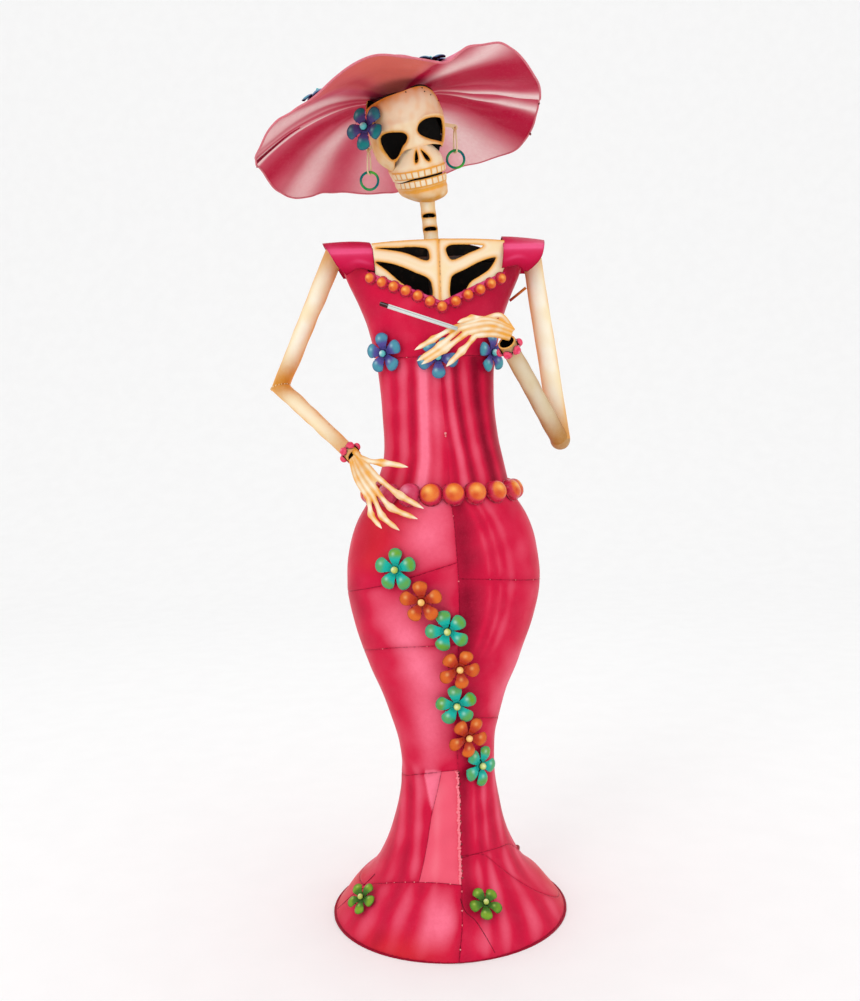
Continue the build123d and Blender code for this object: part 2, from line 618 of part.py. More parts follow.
def hat_parts():
    sections = []
    inner = CROWN_R + BRIM_GAP
    radii = [inner + (BRIM_R - inner) * k / 4 for k in range(5)]
    for k in range(BRIM_STEPS + 1):
        angle = math.radians(BRIM_SEAM + (360 - BRIM_GAP) * k / BRIM_STEPS)
        low = Spline([brim_xyz(angle, r) for r in radii])
        high = Spline([brim_xyz(angle, r, SHEET) for r in radii])
        sections.append(make_face([low, Line(low @ 1, high @ 1), high, Line(high @ 0, low @ 0)]))
    crown = ellipsoid(CROWN_R, CROWN_R, CROWN_H)
    crown -= ellipsoid(CROWN_R - SHEET, CROWN_R - SHEET, CROWN_H - SHEET)
    upper = Pos(0, 0, CROWN_R * 2) * Box(CROWN_R * 4, CROWN_R * 4, CROWN_R * 4)
    return {"hat_brim": loft(sections), "hat_crown": Pos(*HAT_AT) * Rot(0, HAT_LEAN, 0) * (crown & upper)}


BUILDERS = [
    base_parts, skirt_parts, belt_parts, bodice_parts, arm_parts, skull_parts, earring_parts, hat_parts,
    flower_parts,
]

os.makedirs("parts", exist_ok=True)
for build in BUILDERS:
    for name, shape in build().items():
        export_step(shape, f"parts/{name}.step")
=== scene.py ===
import math

import bpy
import numpy as np
from mathutils import Matrix, Vector


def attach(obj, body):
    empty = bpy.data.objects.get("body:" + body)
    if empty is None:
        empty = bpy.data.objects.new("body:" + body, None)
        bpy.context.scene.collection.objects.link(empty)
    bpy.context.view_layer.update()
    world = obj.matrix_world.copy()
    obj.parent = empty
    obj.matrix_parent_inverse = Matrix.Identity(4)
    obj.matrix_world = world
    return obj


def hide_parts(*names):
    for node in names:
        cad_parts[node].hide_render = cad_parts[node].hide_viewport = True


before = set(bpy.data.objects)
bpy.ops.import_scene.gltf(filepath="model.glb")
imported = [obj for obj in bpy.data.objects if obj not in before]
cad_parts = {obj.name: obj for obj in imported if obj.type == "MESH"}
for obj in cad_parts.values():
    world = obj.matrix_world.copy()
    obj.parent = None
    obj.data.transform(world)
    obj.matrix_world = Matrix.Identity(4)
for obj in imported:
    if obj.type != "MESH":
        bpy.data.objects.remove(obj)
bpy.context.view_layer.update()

MM = 0.001
Y_AXIS, Z_AXIS = 1, 2
COL = bpy.context.scene.collection


# ------------------------------------------------------------------ numbers and curves
def rgb(r, g, b):
    """A colour given the way a paint chart gives it, 0 to 255, as linear light."""
    def lin(c):
        c /= 255.0
        return c / 12.92 if c <= 0.04045 else ((c + 0.055) / 1.055) ** 2.4

    return (lin(r), lin(g), lin(b), 1.0)


def track(table, column=1):
    """A smooth curve through a table's rows, as a function of its first column."""
    rows = sorted(table)
    x = np.array([r[0] for r in rows], float)
    y = np.array([r[column] for r in rows], float)
    slope = np.empty_like(y)
    slope[1:-1] = (y[2:] - y[:-2]) / (x[2:] - x[:-2])
    slope[0] = (y[1] - y[0]) / (x[1] - x[0])
    slope[-1] = (y[-1] - y[-2]) / (x[-1] - x[-2])

    def value(q):
        q = np.clip(np.asarray(q, float), x[0], x[-1])
        i = np.clip(np.searchsorted(x, q, side="right") - 1, 0, len(x) - 2)
        span = x[i + 1] - x[i]
        u = (q - x[i]) / span
        return (
            y[i] * (2 * u**3 - 3 * u**2 + 1)
            + slope[i] * span * (u**3 - 2 * u**2 + u)
            + y[i + 1] * (3 * u**2 - 2 * u**3)
            + slope[i + 1] * span * (u**3 - u**2)
        )

    return value


def wobble(P, size, seed=1, waves=14):
    """Smooth noise, about -1 to 1, over points in mm, with features about size mm across."""
    r = np.random.default_rng(seed)
    out = np.zeros(P.shape[:-1])
    for _ in range(waves):
        d = r.normal(size=3)
        d *= 2 * math.pi / size * r.uniform(0.5, 1.6) / np.linalg.norm(d)
        out += np.sin(P @ d + r.uniform(0, 6.28))
    return out / math.sqrt(waves / 2)


def bump(x, at, width):
    """A soft bell, 1 at its middle."""
    return np.exp(-(((x - at) / width) ** 2))


def step(x, low, high):
    """0 below low, 1 above high, smooth between."""
    t = np.clip((x - low) / (high - low), 0, 1)
    return t * t * (3 - 2 * t)


def spread(n, tight=0.04):
    """n values from 0 to 1 with extra ones close to both ends."""
    inner = np.linspace(0, 1, n)
    return np.unique(
        np.concatenate(
            [
                [0, tight * 0.15, tight * 0.4, tight], inner,
                [1 - tight, 1 - tight * 0.4, 1 - tight * 0.15, 1],
            ]
        )
    )


# ------------------------------------------------------------------ meshes
# A shape is (points in mm, faces, four paint masks for each point, 1 for each face on the inside).
def add(name, shape, mat, body="figure", cad=(), sharp=38.0, inner="primer"):
    """Makes an object from a shape. cad lists the CAD nodes that it stands in for."""
    V, F, X, I = shape
    me = bpy.data.meshes.new(name)
    me.from_pydata((np.asarray(V, float) * MM).tolist(), [], [tuple(f) for f in F])
    me.update()
    me.polygons.foreach_set("use_smooth", [True] * len(me.polygons))
    if sharp:
        me.set_sharp_from_angle(angle=math.radians(sharp))
    layer = me.color_attributes.new("fx", "FLOAT_COLOR", "POINT")
    layer.data.foreach_set("color", np.asarray(X, np.float32).reshape(-1))
    me.materials.append(M[mat])
    if np.any(I):
        me.materials.append(M[inner])
        me.polygons.foreach_set("material_index", np.asarray(I, np.int32))
    ob = bpy.data.objects.new(name, me)
    COL.objects.link(ob)
    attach(ob, body)
    if cad:
        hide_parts(*cad)
    return ob


def facing(P, axis):
    """1 if the normal at the middle of a grid points along an axis, -1 if it points against it."""
    return 1 if normals(P)[P.shape[0] // 2, P.shape[1] // 2, axis] > 0 else -1


def quads(nu, nv, wrap=False, flip=False):
    """Faces of a grid of nu by nv points. wrap joins the last row of u to the first."""
    i = np.arange(nu if wrap else nu - 1)[:, None]
    j = np.arange(nv - 1)[None, :]
    i2 = (i + 1) % nu
    corners = [i * nv + j, i2 * nv + j, i2 * nv + j + 1, i * nv + j + 1]
    F = np.stack(corners[::-1] if flip else corners, -1)
    return F.reshape(-1, 4)


def unit(v):
    """A vector's direction."""
    return v / np.linalg.norm(v)


def normals(P, wrap=False):
    """Unit normals of a grid of points."""
    du = np.roll(P, -1, 0) - np.roll(P, 1, 0) if wrap else np.gradient(P, axis=0)
    n = np.cross(du, np.gradient(P, axis=1))
    return n / np.maximum(np.linalg.norm(n, axis=-1, keepdims=True), 1e-9)


def masks(shape, light=0.0, dark=0.0, edge=0.0, extra=0.0):
    """Paint masks for a grid of points."""
    out = np.zeros(tuple(shape) + (4,))
    for k, m in enumerate((light, dark, edge, extra)):
        out[..., k] = m
    return np.clip(out, 0, 1)


def thicken(P, N, F, t, fx):
    """Gives a surface a thickness t inwards, with a wall along every free edge."""
    n = len(P)
    edges = np.concatenate([F[:, [k, (k + 1) % 4]] for k in range(4)])
    key = np.sort(edges, 1) @ np.array([n, 1])
    _, first, count = np.unique(key, return_index=True, return_counts=True)
    free = edges[first[count == 1]]
    walls = np.stack([free[:, 1], free[:, 0], free[:, 0] + n, free[:, 1] + n], 1)
    faces = np.concatenate([F, F[:, ::-1] + n, walls])
    inside_face = np.zeros(len(faces), int)
    inside_face[len(F) : 2 * len(F)] = 1
    used = np.unique(faces)
    new = np.full(2 * n, -1)
    new[used] = np.arange(len(used))
    V = np.concatenate([P, P - N * t])
    X = np.concatenate([fx, fx])
    return V[used], new[faces], X[used], inside_face


def sheet(P, t, fx=None, wrap=False, side=1):
    """A formed sheet: the outer surface is the grid P, and the metal goes t inwards."""
    N = normals(P, wrap) * side
    F = quads(P.shape[0], P.shape[1], wrap, side < 0)
    fx = masks(P.shape[:2]) if fx is None else fx
    return thicken(P.reshape(-1, 3), N.reshape(-1, 3), F, t, fx.reshape(-1, 4))


def inside(outline, x, y):
    """Which points lie inside a closed outline."""
    hit = np.zeros(x.shape, bool)
    for (x0, y0), (x1, y1) in zip(outline, np.roll(outline, -1, 0)):
        crossing = (y0 > y) != (y1 > y)
        hit ^= crossing & (x < (x1 - x0) * (y - y0) / (y1 - y0 + 1e-12) + x0)
    return hit


def nearest(outline, x, y):
    """The nearest point of a closed outline, and its distance."""
    best, bx, by = np.full(x.shape, 1e9), x.copy(), y.copy()
    for (x0, y0), (x1, y1) in zip(outline, np.roll(outline, -1, 0)):
        dx, dy = x1 - x0, y1 - y0
        u = np.clip(((x - x0) * dx + (y - y0) * dy) / (dx * dx + dy * dy + 1e-12), 0, 1)
        px, py = x0 + u * dx, y0 + u * dy
        d = np.hypot(x - px, y - py)
        closer = d < best
        best, bx, by = np.where(closer, d, best), np.where(closer, px, bx), np.where(closer, py, by)
    return bx, by, best


def loop(points, n=90):
    """A smooth closed outline through points."""
    p = np.asarray(points, float)
    d = np.concatenate([[0], np.cumsum(np.linalg.norm(np.roll(p, -1, 0) - p, axis=1))])
    at = np.concatenate([d[:-1] - d[-1], d[:-1], d[:-1] + d[-1]])
    q = np.arange(n) / n * d[-1]
    return np.stack([track(list(zip(at, np.tile(p[:, k], 3))))(q) for k in range(2)], -1)


def pierced(surface, U, W, holes, t, paint, side=1):
    """A formed sheet surface(U, W) with cut-outs, each an outline in (u, w).
    paint(P, U, W, d) gives the masks, d being the distance to the nearest cut-out."""
    gone = np.zeros((U.shape[0] - 1, U.shape[1] - 1), bool)
    dist = np.full(U.shape, 1e9)
    snap_u, snap_w = U.copy(), W.copy()
    for outline in holes:
        hit = inside(outline, U, W)
        gone |= hit[:-1, :-1] | hit[1:, :-1] | hit[:-1, 1:] | hit[1:, 1:]
        bu, bw, d = nearest(outline, U, W)
        closer = d < dist
        snap_u, snap_w = np.where(closer, bu, snap_u), np.where(closer, bw, snap_w)
        dist = np.minimum(d, dist)
        dist = np.where(hit, 0, dist)
    touches = np.zeros(U.shape, bool)
    for a in (slice(None, -1), slice(1, None)):
        for b in (slice(None, -1), slice(1, None)):
            touches[a, b] |= gone
    U2, W2 = np.where(touches, snap_u, U), np.where(touches, snap_w, W)
    d = np.where(touches, 0, dist)
    N = normals(surface(U, W, dist)) * side
    P = surface(U2, W2, d)
    F = quads(U.shape[0], U.shape[1], False, side < 0)[~gone.reshape(-1)]
    return thicken(P.reshape(-1, 3), N.reshape(-1, 3), F, t, paint(P, U2, W2, d).reshape(-1, 4))


def join(parts):
    """Several shapes as one."""
    V, F, X, I, n = [], [], [], [], 0
    for v, f, x, i in parts:
        V.append(np.asarray(v, float))
        F += [[k + n for k in face] for face in (f.tolist() if hasattr(f, "tolist") else f)]
        X.append(np.asarray(x, float).reshape(-1, 4))
        I.append(np.asarray(i, int))
        n += len(v)
    return np.concatenate(V), F, np.concatenate(X), np.concatenate(I)


def moved(shape, *where, **turn):
    """A shape made in a local frame, moved with place()."""
    return (place(shape[0], *where, **turn), *shape[1:])


def place(V, at, z_dir, x_dir=None, spin=0.0):
    """Moves points from a local frame, z along z_dir, to the row frame."""
    z = Vector(z_dir).normalized()
    x = Vector(x_dir) if x_dir is not None else Vector((0, 0, 1)).cross(z)
    if x.length < 1e-6:
        x = Vector((1, 0, 0))
    x = (x - z * x.dot(z)).normalized()
    y = z.cross(x)
    c, s = math.cos(spin), math.sin(spin)
    x, y = x * c + y * s, y * c - x * s
    M = np.array([x, y, z])
    return np.asarray(V) @ M + np.asarray(at, float)


def tube(path, radii, sides=24, squash=None, fx=None):
    """A solid round bar along points, with a radius at each. squash is (unit vector, factor)."""
    P = np.asarray(path, float)
    R = np.asarray(radii, float) * np.ones(len(P))
    T = np.gradient(P, axis=0)
    T /= np.linalg.norm(T, axis=1, keepdims=True)
    up = np.array([0.0, 0.0, 1.0]) if abs(T[0][2]) < 0.9 else np.array([0.0, 1.0, 0.0])
    across = np.cross(T[0], up)
    rings = []
    a = np.arange(sides) / sides * 2 * math.pi
    for k in range(len(P)):
        across = across - T[k] * across.dot(T[k])
        across /= np.linalg.norm(across)
        other = np.cross(T[k], across)
        off = (np.cos(a)[:, None] * across + np.sin(a)[:, None] * other) * R[k]
        if squash is not None:
            v = np.asarray(squash[0], float)
            off = off - np.outer(off @ v, v) * (1 - squash[1])
        rings.append(P[k] + off)
    V = np.stack(rings, 1).reshape(-1, 3)
    n = len(P)
    F = quads(sides, n, wrap=True).tolist()
    F.append([i * n for i in range(sides - 1, -1, -1)])
    F.append([i * n + n - 1 for i in range(sides)])
    X = np.zeros((sides, n, 4)) if fx is None else np.tile(np.asarray(fx, float)[None], (sides, 1, 1))
    return V, F, X.reshape(-1, 4), np.zeros(len(F), int)


def lathe(profile, sides=36, t=None, paint=None, dent=0.0, seed=1):
    """A shape turned about z. With t it is a sheet whose outside is the profile, from the
    centre outwards; without, the profile is a closed solid's, from its top pole to its bottom pole."""
    r, z = (np.asarray(profile, float)[:, k] for k in (0, 1))
    a = np.arange(sides)[:, None] / sides * 2 * math.pi
    P = np.stack([r * np.cos(a), r * np.sin(a), z + 0 * a], -1)
    if dent:
        P = P * (1 + dent * wobble(P, 1.6 * r.max(), seed))[..., None]
    fx = paint(P) if paint else masks(P.shape[:2])
    if t:
        return sheet(P, t, fx, wrap=True, side=-1)
    F = quads(sides, len(r), wrap=True, flip=True)
    return P.reshape(-1, 3), F, fx.reshape(-1, 4), np.zeros(len(F), int)


def blob(at, radius, squash=(1, 1, 1), seed=0, n=8):
    """A small uneven drop, such as a weld bead."""
    s = np.linspace(0.02, math.pi - 0.02, n)
    V, F, X, I = lathe(np.stack([np.sin(s), np.cos(s)], -1), 12, dent=0.10 if seed else 0.0, seed=seed)
    return V * radius * np.asarray(squash, float) + np.asarray(at, float), F, X, I


def lengths(P):
    """Distance along a curve at each of its points."""
    return np.concatenate([[0], np.cumsum(np.linalg.norm(np.diff(P, axis=0), axis=1))])


def beads(path, gap, radius, seed, chance=1.0):
    """Weld spots at uneven spacing along a curve."""
    P = np.asarray(path, float)
    d = lengths(P)
    r = np.random.default_rng(seed)
    q, parts = gap * 0.5, []
    while q < d[-1]:
        at = [np.interp(q, d, P[:, k]) for k in range(3)]
        if r.uniform() < chance:
            size = r.uniform(0.7, 1.2, 3)
            parts.append(blob(at, radius, size, seed=int(r.integers(1, 999))))
        q += gap * r.uniform(0.6, 1.5)
    return join(parts)


def spline(points, n=24):
    """n points on a smooth curve through the given ones."""
    P = np.asarray(points, float)
    d = lengths(P)
    q = np.linspace(0, d[-1], n)
    return np.stack([track(list(zip(d, P[:, k])))(q) for k in range(P.shape[1])], -1)


# ------------------------------------------------------------------ materials
class Graph:
    """A small helper round a material's node tree."""

    def __init__(self, name):
        self.mat = bpy.data.materials.new(name)
        self.mat.use_nodes = True
        self.tree = self.mat.node_tree
        self.tree.nodes.clear()
        self.coords = self.node("TexCoord").outputs["Object"]

    def node(self, kind, inputs=None, **props):
        n = self.tree.nodes.new("ShaderNode" + kind)
        for key, value in props.items():
            setattr(n, key, value)
        for key, value in (inputs or {}).items():
            if isinstance(value, bpy.types.NodeSocket):
                self.tree.links.new(value, n.inputs[key])
            else:
                n.inputs[key].default_value = value
        return n

    def noise(self, size_mm, detail=3.0, rough=0.5):
        """Noise whose features are about size_mm wide, 0 to 1."""
        inputs = {
            "Vector": self.coords, "Scale": 1.0 / (size_mm * MM), "Detail": detail, "Roughness": rough
        }
        return self.node("TexNoise", inputs).outputs[0]

    def calc(self, op, a, b=None, clamp=False):
        n = self.node("Math", {0: a} if b is None else {0: a, 1: b}, operation=op)
        n.use_clamp = clamp
        return n.outputs[0]

    def ramp(self, value, low, high):
        """0 at low, 1 at high, clamped and smooth."""
        n = self.node(
            "MapRange", {"Value": value, "From Min": low, "From Max": high}, interpolation_type="SMOOTHSTEP"
        )
        return n.outputs[0]

    def mix(self, fac, a, b):
        return self.node("Mix", {0: fac, 6: a, 7: b}, data_type="RGBA").outputs[2]

    def masks(self):
        attr = self.node("Attribute", attribute_name="fx")
        split = self.node("SeparateColor", {"Color": attr.outputs["Color"]})
        return (*split.outputs[:3], attr.outputs["Alpha"])

    def finish(
        self, color, rough, height=None, strength=0.3, distance=0.0004, coat=0.0, metal=0.0, spec=0.3
    ):
        base = {
            "Base Color": color, "Roughness": rough, "Metallic": metal, "Coat Weight": coat,
            "Coat Roughness": 0.18,
        }
        base["Specular IOR Level"] = spec
        if height is not None:
            base["Normal"] = self.node(
                "Bump", {"Height": height, "Strength": strength, "Distance": distance}
            ).outputs[0]
        bsdf = self.node("BsdfPrincipled", base)
        self.node("OutputMaterial", {"Surface": bsdf.outputs[0]})
        return self.mat


def enamel(
    name, base, light, dark, extra=None, rim=None, rough=0.36, coat=0.0, grain=0.08, peel=1.0, blotch=0.06,
    spec=0.06,
):
    """Airbrushed enamel on sheet metal. The masks drive light, dark, rim and extra colours;
    noise breaks up their edges, adds overspray, orange peel, dull patches and small chips."""
    g = Graph(name)
    m_light, m_dark, m_edge, m_extra = g.masks()
    cloud = g.noise(22, 3, 0.55)
    spray = g.noise(1.1, 2, 0.8)
    ragged = g.calc("MULTIPLY_ADD", g.noise(5, 4, 0.65), 0.5)
    ragged.node.inputs[2].default_value = 0.75
    lighter = g.calc("MULTIPLY", m_light, ragged, clamp=True)
    darker = g.calc("MULTIPLY", m_dark, ragged, clamp=True)
    color = g.mix(g.calc("MULTIPLY", g.ramp(cloud, 0.35, 0.75), blotch), base, light)
    color = g.mix(lighter, color, light)
    if extra is not None:
        color = g.mix(g.calc("MULTIPLY", m_extra, ragged, clamp=True), color, extra)
    color = g.mix(darker, color, dark)
    # overspray: fine specks, lighter and darker
    color = g.mix(g.calc("MULTIPLY", g.ramp(spray, 0.55, 0.75), grain), color, light)
    color = g.mix(g.calc("MULTIPLY", g.ramp(spray, 0.45, 0.25), grain), color, dark)
    # wear and dirt that gathers on an edge
    wear = g.calc("MULTIPLY", m_edge, g.ramp(g.noise(3.0, 5, 0.7), 0.42, 0.62), clamp=True)
    color = g.mix(wear, color, rim or dark)
    height = g.calc("MULTIPLY_ADD", g.noise(2.2, 2, 0.5), 0.35 * peel)
    g.tree.links.new(g.calc("MULTIPLY", g.noise(26, 2, 0.5), 1.2), height.node.inputs[2])
    r = g.calc("MULTIPLY_ADD", g.noise(14, 4, 0.6), 0.22)
    r.node.inputs[2].default_value = rough - 0.11
    r = g.calc("ADD", r, g.calc("MULTIPLY", wear, 0.25), clamp=True)
    return g.finish(color, r, height, strength=0.3, distance=0.0006, coat=coat, spec=spec)


def bare_steel(name):
    g = Graph(name)
    scale = g.ramp(g.noise(9, 6, 0.7), 0.45, 0.62)
    color = g.mix(scale, rgb(70, 68, 66), rgb(104, 82, 64))
    return g.finish(
        color,
        g.calc("MULTIPLY_ADD", scale, 0.25).node.outputs[0], g.noise(1.5, 3, 0.6), 0.3, 0.0003, metal=0.8,
    )


def primer(name):
    """Matt dark inside faces, with a little rust bloom."""
    g = Graph(name)
    bloom = g.ramp(g.noise(12, 5, 0.65), 0.5, 0.75)
    color = g.mix(bloom, rgb(20, 17, 15), rgb(46, 36, 28))
    return g.finish(color, g.calc("MULTIPLY_ADD", bloom, 0.2), g.noise(2, 3, 0.6), 0.2, 0.0003, spec=0.1)


PLAIN_LOOK = dict(rough=0.45)
PETAL_LOOK = dict(rough=0.28, coat=0.06, grain=0.25, peel=0.5, spec=0.12)
STUD_LOOK = dict(rough=0.22, coat=0.1, peel=0.3, spec=0.25)
# key, material name, look, and the colours: base, light, dark, extra, edge
ENAMELS = [
    ("dress", "dress_enamel", {}, (212, 20, 64), (253, 122, 150), (140, 6, 40), (214, 42, 42), (84, 6, 24)),
    ("gore", "gore_enamel", {},
     (240, 92, 116), (252, 140, 156), (196, 28, 66), (248, 112, 118), (204, 50, 84)),
    ("sleeve", "sleeve_enamel", {}, (212, 22, 76), (244, 92, 142), (168, 4, 46), None, (80, 8, 30)),
    ("hat", "hat_enamel", PLAIN_LOOK,
     (214, 84, 110), (252, 220, 220), (188, 14, 60), (226, 112, 100), (120, 30, 50)),
    ("hat_top", "hat_top_enamel", {},
     (196, 26, 70), (236, 110, 150), (124, 6, 40), (204, 98, 88), (90, 12, 34)),
    ("bone", "bone_enamel", dict(rough=0.42, grain=0.07, blotch=0.25, spec=0.12),
     (248, 226, 180), (253, 246, 226), (240, 168, 64), (176, 98, 26), (92, 52, 24)),
    # a darker copy of the bone paint for the left forearm and elbow cap: painted shade of that arm
    ("tan", "shaded_bone_enamel", dict(rough=0.42, grain=0.08, blotch=0.2, spec=0.12),
     (214, 192, 152), (236, 230, 212), (170, 108, 26), (184, 130, 60), (92, 52, 24)),
    ("dome", "dome_enamel", dict(rough=0.24, coat=0.12, grain=0.2, peel=0.6, blotch=0.3, spec=0.2),
     (228, 96, 26), (255, 190, 92), (206, 58, 18), (204, 36, 76), (110, 10, 30)),
    ("rose_dome", "rose_dome_enamel", dict(rough=0.24, coat=0.12, peel=0.6, blotch=0.2, spec=0.2),
     (206, 52, 92), (240, 150, 180), (150, 22, 60), (220, 70, 110), (90, 8, 30)),
    ("bracelet", "bracelet_enamel", dict(rough=0.25, coat=0.1, peel=0.4, spec=0.2),
     (226, 44, 88), (250, 130, 160), (160, 14, 48), (236, 80, 110), (90, 8, 30)),
    ("turquoise", "turquoise_petals", PETAL_LOOK,
     (0, 178, 164), (104, 164, 40), (0, 134, 130), (190, 236, 214), (20, 70, 60)),
    ("orange", "orange_petals", PETAL_LOOK,
     (186, 52, 26), (226, 114, 36), (132, 14, 16), (246, 190, 120), (80, 14, 10)),
    ("green", "green_petals", PETAL_LOOK,
     (64, 112, 34), (128, 170, 44), (36, 66, 26), (190, 214, 110), (24, 44, 16)),
    ("blue", "blue_petals", PETAL_LOOK,
     (84, 68, 148), (72, 166, 176), (48, 38, 104), (176, 220, 226), (30, 26, 70)),
    ("temple", "temple_petals", dict(rough=0.26, coat=0.1, grain=0.25, peel=0.5, spec=0.15),
     (78, 62, 128), (0, 136, 134), (44, 34, 88), (150, 214, 214), (26, 20, 54)),
    ("stud_lime", "lime_stud", STUD_LOOK, (176, 196, 84), (240, 244, 180), (120, 150, 60), None, None),
    ("stud_amber", "amber_stud", STUD_LOOK, (238, 176, 90), (255, 226, 150), (206, 110, 50), None, None),
    ("stud_pearl", "pearl_stud", dict(rough=0.18, coat=0.15, peel=0.3, spec=0.3),
     (84, 190, 190), (220, 244, 240), (40, 120, 140), None, None),
    ("ring", "ring_enamel", dict(rough=0.28, coat=0.2, peel=0.3),
     (16, 150, 78), (84, 186, 60), (0, 112, 124), None, None),
    ("link", "link_enamel", dict(rough=0.4, peel=0.3),
     (232, 206, 160), (250, 240, 214), (206, 140, 64), None, None),
    ("paper", "cigarette_enamel", dict(rough=0.5, peel=0.4, blotch=0.15),
     (214, 220, 216), (240, 244, 240), (128, 138, 140), (64, 14, 18), (60, 40, 40)),
    ("stay", "stay_enamel", dict(rough=0.4), (180, 26, 44), (232, 150, 60), (110, 8, 26), None, None),
    ("strip", "neckline_enamel", {}, (222, 40, 104), (246, 110, 160), (150, 12, 56), None, (90, 6, 36)),
    ("weld", "weld_paint", dict(rough=0.35, grain=0.3, blotch=0.8),
     (226, 96, 112), (250, 196, 190), (140, 20, 44), None, None),
    ("weld_dark", "weld_dark_paint", dict(rough=0.45, grain=0.3, blotch=0.45),
     (96, 14, 28), (230, 140, 140), (24, 10, 12), None, None),
    ("base", "base_enamel", PLAIN_LOOK, (150, 14, 44), (206, 40, 80), (96, 6, 28), None, (70, 6, 20)),
]
M = {
    key: enamel(name, *[c and rgb(*c) for c in colours], **look)
    for key, name, look, *colours in ENAMELS
}
M["steel"] = bare_steel("bare_steel")
M["primer"] = primer("inside_primer")


# ------------------------------------------------------------------ the dress
DRESS = [
    (0, 0.0, 136, 136, 136), (30, 0.0, 113, 113, 113), (45, 0.0, 96, 96, 96), (60, 0.5, 84, 84, 84),
    (90, 1.0, 69.5, 69, 69), (130, 2.0, 59.5, 58, 58), (165, 2.5, 54.7, 52, 52), (200, 2.0, 56.5, 53, 53),
    (230, 1.0, 63.5, 57, 58), (260, 0.5, 73.3, 63, 65), (300, 1.0, 89.5, 72, 76), (345, 2.5, 104.6, 81, 87),
    (387, 3.5, 112.0, 85, 92), (430, 4.0, 108.0, 83, 88),
    (460, 5.0, 98.5, 76, 80), (490, 4.8, 81.0, 66, 68),
    (510, 6.3, 74.2, 60, 60), (530, 7.0, 69.0, 55, 54), (555, 5.5, 66.0, 52, 50), (600, 3.3, 65.3, 50, 48),
    (640, 2.5, 68.5, 51, 46), (680, 2.2, 76.5, 53, 46), (706, 2.0, 85.6, 53, 45), (742, 2.0, 101.0, 49, 42),
    (780, 2.0, 108.0, 37, 34),
]
T_CENTRE, T_WIDTH, T_FRONT, T_BACK = (track(DRESS, k) for k in (1, 2, 3, 4))
T_CREASE = track([(0, 2.5), (60, 8.0), (170, 11.0), (400, 9.5), (560, 5.0), (780, 5.0)])
T_RIDGE = track([(0, 4.0), (170, 4.0), (400, 6.0), (560, 1.5), (780, 0.0)])
# angle from the crease of the pale front strip's outer edge
T_GORE = track([(0, -33), (61.5, -32.5), (100, -31.5), (132, -29.6), (176, -20), (190, -17)])
T_SQUARE = track([(0, 2.0), (300, 2.1), (490, 2.2), (600, 2.5), (780, 2.6)])
BELT_Z = 490.0
BELT_DOMES, BELT_START = 18, -50.5
SHEET = 1.2
# half the gap at a seam: in mm between the edges of two panels, and in degrees at the crease
SEAM_GAP = 0.1
SEAM_TURN = SEAM_GAP / 1.2


def dress(z, a):
    """Points of the dress outline at heights z and polar angles a (radians from the front)."""
    z, a = np.broadcast_arrays(np.asarray(z, float), np.asarray(a, float))
    depth = np.where(np.cos(a) > 0, T_FRONT(z), T_BACK(z))
    n = T_SQUARE(z)
    r = (np.abs(np.sin(a) / T_WIDTH(z)) ** n + np.abs(np.cos(a) / depth) ** n) ** (-1 / n)
    off = a - np.radians(T_CREASE(z))
    r = r + np.where(np.cos(off) > 0, T_RIDGE(z) * (1 - np.abs(np.sin(off))) ** 2, 0)
    return np.stack([T_CENTRE(z) + r * np.sin(a), -r * np.cos(a), z], -1)


def dress_at(x, z):
    """Point and outward normal of the dress front at a given x and height."""
    low, high = -math.pi / 2, math.pi / 2
    for _ in range(40):
        mid = (low + high) / 2
        if dress(z, mid)[0] < x:
            low = mid
        else:
            high = mid
    return dress_frame(z, low)


def dress_frame(z, a):
    along = dress(z, a + 0.02) - dress(z, a - 0.02)
    up = dress(z + 2, a) - dress(z - 2, a)
    n = np.cross(along, up)
    return dress(z, a), unit(n)


def streaks(off, rows):
    """Airbrushed bands: each row is angle, width, amount."""
    out = np.zeros_like(off)
    for at, width, amount in rows:
        out += amount * bump(off, at, width)
    return out


